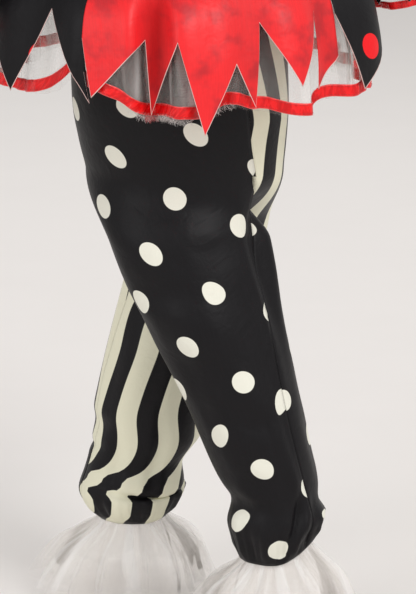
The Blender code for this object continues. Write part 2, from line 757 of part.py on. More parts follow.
def build():
    clear_scene()
    red = {"colour": "red", "roughness": 0.45}
    black = {"colour": "black", "roughness": 0.4}
    net = {"colour": "net", "roughness": 0.8}
    ribbon = {"colour": "ribbon", "roughness": 0.3}
    cream = {"colour": "cream", "roughness": 0.4}

    left_shares = bodice_shares()
    right_shares = [-share for share in left_shares[::-1]]
    front = bodice_rows(right_shares[:-1] + left_shares, 1, NECK_DROP_FRONT)
    back_left = bodice_rows(left_shares, -1, NECK_DROP_BACK, SEAM / 2)
    back_right = bodice_rows(right_shares, -1, NECK_DROP_BACK, -SEAM / 2)
    cloth("bodice_front", front, False, material("bodice_front", **red))
    cloth("bodice_back_left", back_left, False, material("bodice_back_left", **red))
    cloth("bodice_back_right", back_right, False, material("bodice_back_right", **red))
    neck_binding(front, back_left, back_right, material("neck_binding", **black))
    for side, word in ((1, "left"), (-1, "right")):
        sleeve("sleeve_" + word, side, material("sleeve_" + word, **black))
        rows = sleeve_net_rows(side)
        cloth("sleeve_net_" + word, rows, True, material("sleeve_net_" + word, **net), NET, side > 0)
        strip = moved_out(lower_strip(rows, SLEEVE_RIBBON_WIDTH), -side * (LAYER + SEAM))
        finish = material("sleeve_ribbon_" + word, **ribbon)
        cloth("sleeve_ribbon_" + word, strip, True, finish, flip=side > 0)

    skirt_panel("skirt_front", HEM_FRONT, material("skirt_front", **red))
    skirt_panel("skirt_side_left", HEM_LEFT, material("skirt_side_left", **black))
    skirt_panel("skirt_back", HEM_BACK, material("skirt_back", **red))
    skirt_panel("skirt_side_right", HEM_RIGHT, material("skirt_side_right", **black))
    petticoat = net_layer(1, PETTICOAT_TOP, petticoat_hem, PETTICOAT_WAVES, PETTICOAT_WAVE_DEPTH, 4)
    cloth("petticoat", petticoat, True, material("petticoat", **net), NET)
    strip = moved_out(lower_strip(petticoat, RIBBON_WIDTH), LAYER + SEAM)
    cloth("petticoat_ribbon", strip, True, material("petticoat_ribbon", **ribbon))
    under = net_layer(2, UNDER_TOP, under_hem, UNDER_WAVES, UNDER_WAVE_DEPTH, 3)
    for word, first, last in UNDER_GORES:
        name = "petticoat_under_" + word
        cloth(name, gore(under, first, last), False, material(name, **net), NET)

    waistband(material("trouser_waistband", **black))
    dotted = trouser_rows(LEG_DOTTED, CREASES_DOTTED, -1)
    striped = trouser_rows(LEG_STRIPED, CREASES_STRIPED, 1)
    for step, word in ((-1, "front"), (1, "back")):
        name = f"trouser_{word}_dotted"
        trouser_piece(name, dotted, -1, step, material(name, **black))
        name = f"trouser_{word}_striped"
        trouser_piece(name, striped, 1, step, material(name, **cream))
    ankle_ruffle("ankle_ruffle_dotted", LEG_DOTTED, material("ankle_ruffle_dotted", **net), 0.4)
    ankle_ruffle("ankle_ruffle_striped", LEG_STRIPED, material("ankle_ruffle_striped", **net), 1.9)

    origin = bpy.data.objects.new("wearer_shoulders", None)
    origin.location.z = -SHOULDER_HEIGHT
    collection.objects.link(origin)
    for obj in collection.objects:
        if obj is not origin:
            obj.parent = origin


build()
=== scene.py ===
"""Clown costume, dressed: satin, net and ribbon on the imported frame.

All sizes are in metres, and heights are above the soles of the feet. The origin is between the
shoulders. Angles go round the body in degrees: 0 is the centre front, 90 the wearer's left
side. Every cloth piece keeps its place in the flat cut, in metres, as its UV map.
"""

import math

import bpy
import numpy as np
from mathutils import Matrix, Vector, noise


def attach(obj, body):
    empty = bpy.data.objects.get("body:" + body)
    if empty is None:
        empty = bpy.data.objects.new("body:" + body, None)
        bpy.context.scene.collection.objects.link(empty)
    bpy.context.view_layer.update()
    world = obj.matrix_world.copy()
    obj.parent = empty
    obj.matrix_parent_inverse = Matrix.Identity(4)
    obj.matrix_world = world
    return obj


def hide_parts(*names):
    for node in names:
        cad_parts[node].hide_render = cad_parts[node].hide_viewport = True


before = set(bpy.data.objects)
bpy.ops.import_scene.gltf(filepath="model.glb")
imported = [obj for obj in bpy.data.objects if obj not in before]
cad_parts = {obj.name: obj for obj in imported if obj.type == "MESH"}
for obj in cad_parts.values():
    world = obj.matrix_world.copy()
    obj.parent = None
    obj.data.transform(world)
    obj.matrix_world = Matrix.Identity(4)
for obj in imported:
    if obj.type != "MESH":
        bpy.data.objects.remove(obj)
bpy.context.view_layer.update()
scene = bpy.context.scene

# ----------------------------------------
# Bodice: a front and two backs in soft red satin with blotches of a deeper dye. They are
# seamed at the shoulders, the sides and down the centre back, and hang loose to the waist.
SHOULDER_HEIGHT = 0.940
SATIN = 0.0005
SATIN_BUMP = 0.0012
BODICE = (  # height, half width, half depth
    (0.700, 0.104, 0.087), (0.720, 0.103, 0.086), (0.760, 0.106, 0.089), (0.820, 0.118, 0.093),
    (0.880, 0.125, 0.092), (0.945, 0.130, 0.090),
)
WAIST_HEIGHT = 0.720
UNDERARM_HEIGHT = 0.820
NECK_POINT_HEIGHT = 0.945
NECK_HALF_WIDTH = 0.066
NECK_DROP_FRONT = 0.048
NECK_DROP_BACK = 0.018
SHOULDER_SLOPE = 0.40
SHOULDER_TIP = 0.115
SHOULDER_ROLL = 0.095
SHOULDER_OPEN = 0.0004
ARMHOLE_INSET = 0.104
SEAM = 0.0003
BODICE_ROWS = 56
NECK_COLUMNS = 18
SHOULDER_COLUMNS = 14
# Folds: angle, height, half width in degrees, half height, slant in degrees for a metre
# down, depth (minus is inward)
BODICE_FOLDS = (
    (-34, 0.760, 7, 0.048, 90, -0.0030), (-20, 0.752, 6, 0.040, 40, 0.0024),
    (-6, 0.748, 6, 0.036, -20, -0.0016), (9, 0.755, 6, 0.044, -30, 0.0026),
    (24, 0.762, 7, 0.050, -60, -0.0032), (46, 0.790, 9, 0.060, -260, 0.0030),
    (-52, 0.795, 9, 0.060, 260, 0.0030), (58, 0.812, 7, 0.040, -420, -0.0030),
    (-62, 0.815, 7, 0.040, 420, -0.0030), (14, 0.868, 16, 0.012, 0, -0.0020),
    (150, 0.770, 8, 0.050, 60, -0.0028), (172, 0.760, 7, 0.045, 20, 0.0024),
    (196, 0.768, 8, 0.052, -40, -0.0026), (214, 0.800, 9, 0.060, -200, 0.0030),
    (132, 0.815, 8, 0.050, 300, 0.0028),
)
FOLD_REACH = 1.6
RIPPLE = 0.0012
RED = (0.860, 0.0080, 0.0130)
RED_DEEP = (0.790, 0.0065, 0.0105)
RED_BLOTCH = (0.17, 0.005, 0.014)
RAW_THREAD = (0.86, 0.60, 0.56)
# Painted shade in sunk folds: where the skirt's flutes sink inward the satin is darkened, as shade would
# fall there
FOLD_PAINTED_SHADE = 0.25  # how much of its colour a sunk fold keeps, where it is darkened
FOLD_PAINTED_SHADE_STRENGTH = 0.48
FOLD_DULLER = 0.5


def ease(t):
    t = np.clip(t, 0.0, 1.0)
    return t * t * (3 - 2 * t)


def sine(angle):
    return np.sin(np.radians(angle))


def apart(angle):
    """How far this angle is from 0, whichever way round is shorter."""
    return np.abs((angle + 180) % 360 - 180)


def at(x, y, height):
    return np.stack(np.broadcast_arrays(x, y, height), -1)


def read(table, height):
    """The table's columns after the first, on a smooth curve through its rows."""
    rows = np.array(sorted(table))
    height = np.clip(np.asarray(height, float), rows[0, 0], rows[-1, 0])
    i = np.clip(np.searchsorted(rows[:, 0], height, side="right") - 1, 0, len(rows) - 2)
    low, high = rows[i], rows[i + 1]
    before, after = rows[np.maximum(i - 1, 0)], rows[np.minimum(i + 2, len(rows) - 1)]
    span = (high - low)[..., :1]
    t = (height[..., None] - low[..., :1]) / span
    slope_low = (high - before) / (high - before)[..., :1] * span
    slope_high = (after - low) / (after - low)[..., :1] * span
    found = (2 * t**3 - 3 * t**2 + 1) * low + (t**3 - 2 * t**2 + t) * slope_low
    found = found + (3 * t**2 - 2 * t**3) * high + (t**3 - t**2) * slope_high
    return np.moveaxis(found[..., 1:], -1, 0)


def oval(angle, half_width, half_depth, swell=0.0):
    turn = np.radians(angle)
    return (half_width + swell) * np.sin(turn), -(half_depth + swell) * np.cos(turn)


def folds(table, angle, height):
    """How far the cloth stands out or in at these angles and heights."""
    depth = np.zeros(np.broadcast(angle, height).shape)
    for centre, middle, half, half_height, slant, amount in table:
        across = apart(angle - centre - slant * (middle - height)) / half
        away = np.hypot(across, (height - middle) / half_height)
        depth = depth + amount * ease(1 - away / FOLD_REACH)
    return depth


def ripples(angle, height, size, seed):
    """Small uneven ripples from -1 to 1, at this size in metres, slanting a little."""
    turn, level = np.broadcast_arrays(np.radians(angle), height)
    places = np.stack([np.sin(turn) * 0.1, np.cos(turn) * 0.1, level * 0.7], -1) / size + seed
    values = [noise.noise(Vector(place)) for place in places.reshape(-1, 3)]
    return np.array(values).reshape(turn.shape)


def flat_cut(grid, grain=0, loop=False):
    """Each point's place in the flat cut: across from the grain column, and down it."""
    ring = np.concatenate([grid, grid[:, :1]], axis=1) if loop else grid
    steps = np.linalg.norm(np.diff(ring, axis=1), axis=2)
    across = np.cumsum(np.pad(steps, ((0, 0), (1, 0))), axis=1)
    steps = np.linalg.norm(np.diff(grid[:, grain], axis=0), axis=1)
    down = np.cumsum(np.pad(steps, (1, 0)))[:, None]
    return np.stack(np.broadcast_arrays(across - across[:, grain : grain + 1], down), -1)


def wear(piece, slot, *nodes):
    """The piece goes on the body in the place of these solids. The slot is not used."""
    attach(piece, "root")
    if nodes:
        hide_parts(*nodes)
    return piece


def sew_cloth(node, kind, grid, cut, finish, loop=False, turned=False, wall=SATIN, **marks):
    """A sheet through a grid of points, top row first, worn in the place of one solid.

    Its UV is the flat cut. Marks are shares for each point, read by the finish by name."""
    name, (material, slot) = f"{node}_{kind}", finish
    index = np.arange(grid[..., 0].size).reshape(grid.shape[:2])
    if loop:
        index = np.hstack([index, index[:, :1]])
    place = np.arange(cut[..., 0].size).reshape(cut.shape[:2])
    corners, places = (
        np.stack([n[:-1, :-1], n[1:, :-1], n[1:, 1:], n[:-1, 1:]], -1).reshape(-1, 4)
        for n in (index, place)
    )
    points = grid.reshape(-1, 3) - (0, 0, SHOULDER_HEIGHT)
    whole = np.isfinite(points[corners]).all(axis=(1, 2))
    corners, places = corners[whole], places[whole]
    if turned:
        corners, places = corners[:, ::-1], places[:, ::-1]
    used, joined = np.unique(corners, return_inverse=True)
    mesh = bpy.data.meshes.new(name)
    mesh.from_pydata(points[used].tolist(), [], joined.reshape(-1, 4).tolist())
    mesh.uv_layers.new(name="cut").data.foreach_set("uv", cut.reshape(-1, 2)[places].ravel())
    for mark, shares in {"raw_edge": np.zeros(len(points)), **marks}.items():
        layer = mesh.attributes.new(mark, "FLOAT", "POINT")
        layer.data.foreach_set("value", shares.ravel()[used])
    mesh.shade_smooth()
    mesh.materials.append(material)
    piece = bpy.data.objects.new(name, mesh)
    scene.collection.objects.link(piece)
    if wall:
        solid = piece.modifiers.new("wall", "SOLIDIFY")
        solid.thickness = wall
        solid.offset = 0.0
    return wear(piece, slot, node)


def feed(tree, node, **values):
    """The node with inputs set or linked, by name or by number ("i0")."""
    for key, value in values.items():
        socket = node.inputs[int(key[1:]) if key[1:].isdigit() else key.replace("_", " ")]
        if isinstance(value, bpy.types.NodeSocket):
            tree.links.new(value, socket)
        else:
            socket.default_value = value
    return node


def add_node(tree, kind, settings=None, **values):
    node = tree.nodes.new(kind)
    for key, value in (settings or {}).items():
        setattr(node, key, value)
    return feed(tree, node, **values)


def maths(tree, operation, *values):
    inputs = {f"i{n}": value for n, value in enumerate(values)}
    return add_node(tree, "ShaderNodeMath", {"operation": operation}, **inputs).outputs[0]


def ramped(tree, value, low, high):
    """0 below low and 1 above high, or the other way round where low is the greater."""
    settings = {"interpolation_type": "SMOOTHSTEP"}
    node = add_node(tree, "ShaderNodeMapRange", settings, Value=value, From_Min=low, From_Max=high)
    return node.outputs["Result"]


def cloud(tree, place, scale, detail, distortion=0.0, stretch=None):
    """Noise of this scale, or of this one across the cut and that one down it."""
    if stretch:
        place = add_node(tree, "ShaderNodeMapping", Vector=place, Scale=(*stretch, 1.0)).outputs[0]
    values = {"Vector": place, "Scale": scale, "Detail": detail, "Distortion": distortion}
    return add_node(tree, "ShaderNodeTexNoise", **values).outputs


def blend_colours(tree, mask, first, second):
    first, second = ((*c, 1.0) if isinstance(c, tuple) else c for c in (first, second))
    node = add_node(tree, "ShaderNodeMix", {"data_type": "RGBA"}, Factor=mask, A=first, B=second)
    return node.outputs["Result"]


def shaded(colour, share):
    return tuple(c * share for c in colour)


def new_group(name, outputs, **inputs):
    """An empty shader group that takes a place in the cut and these numbers."""
    tree = bpy.data.node_groups.new(name, "ShaderNodeTree")
    tree.interface.new_socket("Cut", in_out="INPUT", socket_type="NodeSocketVector")
    for label, value in inputs.items():
        socket = tree.interface.new_socket(label, in_out="INPUT", socket_type="NodeSocketFloat")
        socket.default_value = value
    for label in outputs:
        tree.interface.new_socket(label, in_out="OUTPUT", socket_type="NodeSocketFloat")
    return tree, tree.nodes.new("NodeGroupInput").outputs, tree.nodes.new("NodeGroupOutput")


def use_group(tree, group, cut, **values):
    return add_node(tree, "ShaderNodeGroup", {"node_tree": group}, Cut=cut, **values).outputs


def new_finish(name):
    made = bpy.data.materials.new(name)
    made.use_nodes = True
    return made, made.node_tree, made.node_tree.nodes["Principled BSDF"]


def cut_place(tree):
    return add_node(tree, "ShaderNodeUVMap", {"uv_map": "cut"}).outputs[0]


def marked(tree, mark):
    return add_node(tree, "ShaderNodeAttribute", {"attribute_name": mark}).outputs["Fac"]


def bumped(tree, height, distance):
    return add_node(tree, "ShaderNodeBump", Strength=1.0, Distance=distance, Height=height).outputs[0]


# The face of satin: its fine twill, slubs along the warp, and crumples from wear
SATIN_FACE, given, outer = new_group("satin face", ("Height", "Roughness", "Shade"), Crumple=1.0)
tree, cut, diagonal = SATIN_FACE, given["Cut"], {"bands_direction": "DIAGONAL"}
twill = add_node(tree, "ShaderNodeTexWave", diagonal, Vector=cut, Scale=310.0).outputs["Fac"]
slub = cloud(tree, cut, 1.0, 2.0, stretch=(900.0, 45.0))[0]
soft = cloud(tree, cut, 26.0, 3.0, 0.7)[0]
small = maths(tree, "MULTIPLY", cloud(tree, cut, 85.0, 2.0, 1.2)[0], 0.35)
crumple = maths(tree, "MULTIPLY", maths(tree, "ADD", soft, small), given["Crumple"])
weave = maths(tree, "MULTIPLY", twill, 0.010)
weave = maths(tree, "ADD", weave, maths(tree, "MULTIPLY", slub, 0.008))
rough = maths(tree, "MULTIPLY_ADD", soft, 0.08, maths(tree, "MULTIPLY_ADD", slub, 0.04, 0.42))
height, shade = maths(tree, "ADD", crumple, weave), ramped(tree, slub, 0.30, 0.70)
feed(tree, outer, Height=height, Roughness=rough, Shade=shade)

# Soft blotches where a deeper dye has taken, scattered with uneven sizes and depths
BLOTCHES, given, outer = new_group("dyed blotches", ("Depth",), Spacing=0.040)
tree, cut = BLOTCHES, given["Cut"]
scale = maths(tree, "DIVIDE", 1.0, given["Spacing"])
cells = add_node(tree, "ShaderNodeTexVoronoi", Vector=cut, Scale=scale, Randomness=1.0).outputs
chosen = add_node(tree, "ShaderNodeSeparateColor", Color=cells["Color"]).outputs[0]
spread = ramped(tree, cells["Distance"], 0.52, 0.05)
spread = maths(tree, "MULTIPLY", spread, ramped(tree, chosen, 0.20, 0.8))
torn = ramped(tree, cloud(tree, cut, 70.0, 4.0)[0], 0.30, 0.60)
wash = maths(tree, "MULTIPLY", ramped(tree, cloud(tree, cut, 34.0, 3.0)[0], 0.46, 0.68), 0.50)
feed(tree, outer, Depth=maths(tree, "MAXIMUM", maths(tree, "MULTIPLY", spread, torn), wash))


def satin(name, slot, colour, deep, crumple=1.0, edge=None, print_on=None, sheen=0.015, shine=0.21):
    """Satin in one colour: its weave, crumples, painted shade in sunk folds and raw edges, with a print
    on it.
    """
    made, tree, surface = new_finish(name)
    cut = cut_place(tree)
    face = use_group(tree, SATIN_FACE, cut, Crumple=crumple)
    paint, rough = blend_colours(tree, face["Shade"], deep, colour), face["Roughness"]
    if print_on:
        paint = print_on(tree, cut, paint)
    if edge:
        # Painted shade in sunk folds: darker colour, and more roughness, where the cloth sinks inward
        fold = marked(tree, "painted_shade_in_folds")
        rough = maths(tree, "MULTIPLY_ADD", fold, FOLD_DULLER, rough)
        painted_fold_shade = maths(tree, "MULTIPLY", fold, FOLD_PAINTED_SHADE_STRENGTH)
        paint = blend_colours(tree, painted_fold_shade, paint, shaded(colour, FOLD_PAINTED_SHADE))
        raw = ramped(tree, marked(tree, "raw_edge"), 0.35, 0.75)
        paint = blend_colours(tree, raw, paint, edge)
    feed(tree, surface, Base_Color=paint, Roughness=rough, Sheen_Weight=sheen, Sheen_Roughness=0.45)
    normal = bumped(tree, face["Height"], SATIN_BUMP)
    feed(tree, surface, Normal=normal, Specular_IOR_Level=shine)
    return made, slot


def blotched(tree, cut, paint):
    depth = use_group(tree, BLOTCHES, cut, Spacing=0.036)["Depth"]
    return blend_colours(tree, maths(tree, "MULTIPLY", depth, 0.92), paint, RED_BLOTCH)


thick = {"sheen": 0.04, "shine": 0.46}
red_satin = satin("red satin", "red_satin", RED, RED_DEEP, edge=RAW_THREAD, print_on=blotched, **thick)


def shoulder_line(x):
    return NECK_POINT_HEIGHT - SHOULDER_SLOPE * np.maximum(0.0, np.abs(x) - NECK_HALF_WIDTH)


def torso(angle, height, facing, swell=0.0):
    x, y = oval(angle, *read(BODICE, height), swell)
    drop = np.clip((shoulder_line(x) - height) / SHOULDER_ROLL, 0.0, 1.0)
    roll = np.sqrt(1 - (1 - drop) ** 2)
    return at(x, facing * (y * roll - SEAM / 2 - SHOULDER_OPEN * (1 - roll)), height)


def armhole_angle(height):
    """How far round a bodice piece reaches: its side seam, and the armhole above that."""
    half_width = read(BODICE, height)[0]
    tip_height = shoulder_line(SHOULDER_TIP)
    t = np.clip((height - UNDERARM_HEIGHT) / (tip_height - UNDERARM_HEIGHT), 0.0, 1.0)
    side = read(BODICE, UNDERARM_HEIGHT)[0]
    reach = ARMHOLE_INSET + (side - ARMHOLE_INSET) * (1 - t) ** 5 + (SHOULDER_TIP - ARMHOLE_INSET) * t**2
    angle = np.degrees(np.arcsin(np.minimum(1.0, reach / half_width)))
    return np.where(height <= UNDERARM_HEIGHT, 90.0, angle)


def bodice_shares():
    """Column places from the centre to the side: over the neck, then along the shoulder."""
    height = shoulder_line(NECK_HALF_WIDTH)
    half_width = read(BODICE, height)[0]
    neck = np.degrees(np.arcsin(NECK_HALF_WIDTH / half_width)) / armhole_angle(height)
    over = neck * np.arange(NECK_COLUMNS) / NECK_COLUMNS
    return np.concatenate([over, np.linspace(neck, 1.0, SHOULDER_COLUMNS + 1)])


def bodice_grid(shares, facing, neck_drop, opening=0.0):
    on_neck = np.abs(shares) < bodice_shares()[NECK_COLUMNS] - 1e-6
    top = np.full(len(shares), NECK_POINT_HEIGHT)
    for _ in range(12):
        x = read(BODICE, top)[0] * sine(np.abs(shares) * armhole_angle(top))
        dip = neck_drop * np.sqrt(np.maximum(0.0, 1 - (x / NECK_HALF_WIDTH) ** 2))
        top = shoulder_line(x) - np.where(on_neck, dip, 0.0)
    bottom = WAIST_HEIGHT + SEAM / 2
    rows = []
    for r in range(BODICE_ROWS + 1):
        height = bottom + (top - bottom) * (1 - r / BODICE_ROWS)
        angle = shares * armhole_angle(height)
        round_body = angle if facing > 0 else 180 - angle
        inside = ease((top - height) / 0.020) * ease((height - bottom) / 0.012)
        inside = inside * ease((1 - np.abs(shares)) / 0.12)
        swell = folds(BODICE_FOLDS, round_body, height)
        swell = inside * (swell + RIPPLE * ripples(round_body, height, 0.035, 3.0))
        row = torso(angle, height, facing, swell) + (opening, 0, 0)
        rows.append(row if facing > 0 else row[::-1])
    return np.array(rows)


left_shares = bodice_shares()
right_shares = -left_shares[::-1]
middle = len(left_shares) - 1
bodice_front = bodice_grid(np.concatenate([right_shares[:-1], left_shares]), 1, NECK_DROP_FRONT)
bodice_left = bodice_grid(left_shares, -1, NECK_DROP_BACK, SEAM / 2)
bodice_right = bodice_grid(right_shares, -1, NECK_DROP_BACK, -SEAM / 2)
for node, grid, grain, width, area in (
    ("bodice_front", bodice_front, middle, 0.300, 0.058),
    ("bodice_back_left", bodice_left, middle, 0.150, 0.031),
    ("bodice_back_right", bodice_right, 0, 0.150, 0.031),
):
    piece = sew_cloth(node, "satin", grid, flat_cut(grid, grain), red_satin)

# ----------------------------------------
# Neck binding: a narrow strip of black satin folded over the neck edge. A row of black
# stitches near its lower edge holds it to the front and the backs.
BINDING_LEAN = 0.25
BINDING_SECTION = (  # rise, stand-off outward from the edge's own line
    (0.0012, 0.0013), (0.0030, 0.0016), (0.0060, 0.0014), (0.0082, 0.0008), (0.0090, 0.0000),
    (0.0082, -0.0008), (0.0060, -0.0013), (0.0030, -0.0014), (0.0012, -0.0012),
)
BLACK = (0.0050, 0.0041, 0.0054)
BLACK_DEEP = (0.0036, 0.0030, 0.0040)
BLACK_FRAY = (0.42, 0.36, 0.35)
STITCHES = {"Pitch": 0.0034, "Length": 0.0022, "Thread": 0.00022, "Unevenness": 0.00012}

black_satin = satin("black satin", "black_satin", BLACK, BLACK_DEEP, edge=BLACK_FRAY)
plain_black = satin("black binding satin", "black_satin", BLACK, BLACK_DEEP, crumple=0.4)


def scattered(tree, size, seed):
    """Random vectors that reach this far either way along each axis."""
    spread = add_node(tree, "FunctionNodeRandomValue", {"data_type": "FLOAT_VECTOR"}, Seed=seed)
    for sign, socket in zip((-1.0, 1.0), spread.inputs):
        limit = add_node(tree, "ShaderNodeVectorMath", {"operation": "SCALE"}, i0=(sign,) * 3, Scale=size)
        tree.links.new(limit.outputs[0], socket)
    return spread.outputs[0]


def thread_tree(name, lay, uneven, sides, caps):
    """Short threads along every path of a mesh's edges, one each pitch, as lay sets them."""
    tree = bpy.data.node_groups.new(name, "GeometryNodeTree")
    kinds = [(label, "Float") for label in ("Pitch", "Length", "Thread", uneven)]
    for label, kind in (("Path", "Geometry"), *kinds, ("Finish", "Material")):
        tree.interface.new_socket(label, in_out="INPUT", socket_type="NodeSocket" + kind)
    tree.interface.new_socket("Threads", in_out="OUTPUT", socket_type="NodeSocketGeometry")
    given = tree.nodes.new("NodeGroupInput").outputs
    path = add_node(tree, "GeometryNodeMeshToCurve", Mesh=given["Path"]).outputs[0]
    spaced = {"Curve": path, "Length": given["Pitch"]}
    points = add_node(tree, "GeometryNodeCurveToPoints", {"mode": "LENGTH"}, **spaced).outputs
    sizes = {"Vertices": sides, "Radius": given["Thread"], "Depth": given["Length"]}
    short = add_node(tree, "GeometryNodeMeshCylinder", {"fill_type": caps}, **sizes).outputs["Mesh"]
    offset, turned = lay(tree, given, points)
    moved = add_node(tree, "GeometryNodeSetPosition", Geometry=points["Points"], Offset=offset)
    turned = {"Points": moved.outputs[0], "Instance": short, **turned}
    laid = add_node(tree, "GeometryNodeInstanceOnPoints", **turned)
    real = add_node(tree, "GeometryNodeRealizeInstances", Geometry=laid.outputs[0]).outputs[0]
    done = add_node(tree, "GeometryNodeSetMaterial", Geometry=real, Material=given["Finish"])
    feed(tree, tree.nodes.new("NodeGroupOutput"), Threads=done.outputs[0])
    return tree


def stitched(tree, given, points):
    """Each stitch lies along the path."""
    kind = "FunctionNodeAlignRotationToVector"
    along = add_node(tree, kind, {"axis": "Z"}, Vector=points["Tangent"]).outputs[0]
    return scattered(tree, given["Unevenness"], 4), {"Rotation": along}


STITCH_TREE = thread_tree("row of stitches", stitched, "Unevenness", 5, "NGON")


def grown(name, tree, paths, loop, finish, **sizes):
    """A plain mesh of what a tree of nodes grows along these paths of points."""
    sizes["Finish"], slot = finish
    points, edges = [], []
    for path in paths:
        first = len(points)
        points += [tuple(p) for p in np.asarray(path) - (0, 0, SHOULDER_HEIGHT)]
        edges += [(first + i, first + i + 1) for i in range(len(path) - 1)]
        if loop:
            edges.append((len(points) - 1, first))
    mesh = bpy.data.meshes.new(name + "_path")
    mesh.from_pydata(points, edges, [])
    piece = bpy.data.objects.new(name, mesh)
    scene.collection.objects.link(piece)
    rule = piece.modifiers.new("rule", "NODES")
    rule.node_group = tree
    for item in tree.interface.items_tree:
        if item.name in sizes:
            rule[item.identifier] = sizes[item.name]
    bpy.context.view_layer.update()
    evaluated = piece.evaluated_get(bpy.context.evaluated_depsgraph_get())
    piece.data = bpy.data.meshes.new_from_object(evaluated)
    piece.data.name = name
    piece.modifiers.remove(rule)
    piece.data.shade_smooth()
    bpy.data.meshes.remove(mesh)
    return wear(piece, slot)


def thread(name, slot, colour):
    made, tree, surface = new_finish(name)
    ply = cloud(tree, add_node(tree, "ShaderNodeTexCoord").outputs["Object"], 1500.0, 1.0)[0]
    paint = blend_colours(tree, ply, shaded(colour, 0.6), colour)
    feed(tree, surface, Base_Color=paint, Roughness=maths(tree, "MULTIPLY_ADD", ply, 0.2, 0.5))
    return made, slot


def stitches(name, paths, finish):
    return grown(name + "_stitches", STITCH_TREE, paths, True, finish, **STITCHES)


black_thread = thread("black thread", "black_satin", (0.03, 0.028, 0.034))
red_thread = thread("red thread", "red_ribbon", (0.62, 0.02, 0.025))
ends = slice(SHOULDER_COLUMNS, -SHOULDER_COLUMNS)
backs = [bodice_left[0][SHOULDER_COLUMNS + 1 :], bodice_right[0][1 : -SHOULDER_COLUMNS - 1]]
neck_edge = np.concatenate([bodice_front[0][ends], *backs])
rows = []
for rise, stand in BINDING_SECTION[::-1]:
    inward = 1 - BINDING_LEAN * rise / NECK_HALF_WIDTH
    row = neck_edge * (inward, inward, 1)
    out = row * (1, 1, 0) / np.linalg.norm(row[:, :2], axis=1)[:, None]
    rows.append(row + out * stand + (0, 0, rise))
rows = np.array(rows)
cut = flat_cut(rows, loop=True)
piece = sew_cloth("neck_binding", "satin", rows, cut, plain_black, loop=True, wall=0)
seams = stitches("neck_binding", [rows[-2] * (1.004, 1.004, 1)], black_thread)

# ----------------------------------------
# Sleeves: straight black satin sleeves set into the armholes, cut to eight points at the
# wrist. The cut edges are left raw.
SLEEVE = (  # inner x, inner height, outer x, outer height, half depth
    (0.1225, 0.798, 0.156, 0.913, 0.052), (0.1310, 0.773, 0.192, 0.878, 0.053),
    (0.1450, 0.745, 0.219, 0.828, 0.052), (0.1650, 0.715, 0.242, 0.772, 0.050),
    (0.1800, 0.682, 0.260, 0.715, 0.049), (0.1950, 0.648, 0.280, 0.669, 0.051),
)
SLEEVE_POINTS = 8
SLEEVE_POINT_LENGTH = 0.022
SLEEVE_POINT_ROWS = (0.15, 0.3, 0.45, 0.6, 0.75, 0.88, 0.955, 1.0)
SLEEVE_COLUMNS = 96
SLEEVE_STEPS = 9
SLEEVE_STEP_LENGTH = 0.035
SLEEVE_RIPPLE = 0.0010
ARMHOLE_LIFT = 0.0009
# Folds of a sleeve: angle, place along it (0 at the armhole, 5 at the wrist), half width in
# degrees, half length, slant in degrees for a whole step, depth
SLEEVE_FOLDS = (
    (-60, 0.8, 30, 0.5, 30, -0.0035), (20, 1.4, 34, 0.35, -40, 0.0030),
    (-20, 2.2, 40, 0.30, 40, -0.0040), (60, 2.7, 40, 0.30, -30, 0.0030),
    (-100, 2.4, 40, 0.25, 20, -0.0035), (150, 2.0, 44, 0.35, 30, -0.0030),
    (200, 3.1, 40, 0.30, -30, 0.0030), (10, 3.6, 40, 0.30, 30, -0.0030),
    (120, 3.9, 30, 0.45, -20, 0.0026), (-45, 4.2, 24, 0.60, 10, 0.0024),
)


def armhole(angle, side):
    tip = shoulder_line(SHOULDER_TIP)
    height = (UNDERARM_HEIGHT + tip) / 2 + (tip - UNDERARM_HEIGHT) / 2 * sine(angle)
    facing = np.where(np.cos(np.radians(angle)) >= 0, 1, -1)
    return torso(armhole_angle(height), height, facing) * (side, 1, 1)


def sleeve_ring(row, angle, side, swell=0.0):
    inner_x, inner_z, outer_x, outer_z, half_depth = row
    middle = np.array(((inner_x + outer_x) / 2, 0, (inner_z + outer_z) / 2))
    out = np.array(((outer_x - inner_x) / 2, 0, (outer_z - inner_z) / 2))
    reach = np.linalg.norm(out)
    points = middle + np.outer((reach + swell) * sine(angle), out / reach)
    points[:, 1] = -(half_depth + swell) * np.cos(np.radians(angle))
    return points * (side, 1, 1)


def sleeve_fall(side):
    across = np.array((SLEEVE[-1][2] - SLEEVE[-1][0], SLEEVE[-1][3] - SLEEVE[-1][1]))
    across = across / np.linalg.norm(across)
    return np.array((side * across[1], 0, -across[0]))


def around(columns, first=0):
    return first + 360 * np.arange(columns) / columns


def sleeve_grid(side):
    turn = around(SLEEVE_COLUMNS, -90)
    table = [(n, *row) for n, row in enumerate(SLEEVE)]
    first = armhole(turn, side)
    first[:, 0] += side * ARMHOLE_LIFT
    first[:, 2] += 0.0004 * np.maximum(0.0, -sine(turn))
    rows = []
    for step in range((len(SLEEVE) - 1) * SLEEVE_STEPS + 1):
        place = step / SLEEVE_STEPS
        inside = ease((5 - place) / 0.5) * ease((place + 0.2) / 0.6)
        uneven = ripples(turn + 40 * side, place * SLEEVE_STEP_LENGTH, 0.030, 7.0)
        swell = inside * (folds(SLEEVE_FOLDS, turn, place) + SLEEVE_RIPPLE * uneven)
        rows.append(sleeve_ring(read(table, place), turn, side, swell))
    for step in range(3):
        rows.insert(step, first + (rows[step] - first) * step / 3)
    point = np.abs((turn + 90) / 360 * 2 * SLEEVE_POINTS % 2 - 1)
    point = np.outer(1 - point, sleeve_fall(side)) * SLEEVE_POINT_LENGTH
    return np.array(rows + [rows[-1] + point * t for t in SLEEVE_POINT_ROWS])


def rim(grid, *rows):
    """1 along these rows of a grid, where the cloth is cut or ends, and 0 elsewhere."""
    edge = np.zeros(grid.shape[:2])
    edge[list(rows)] = 1
    return edge


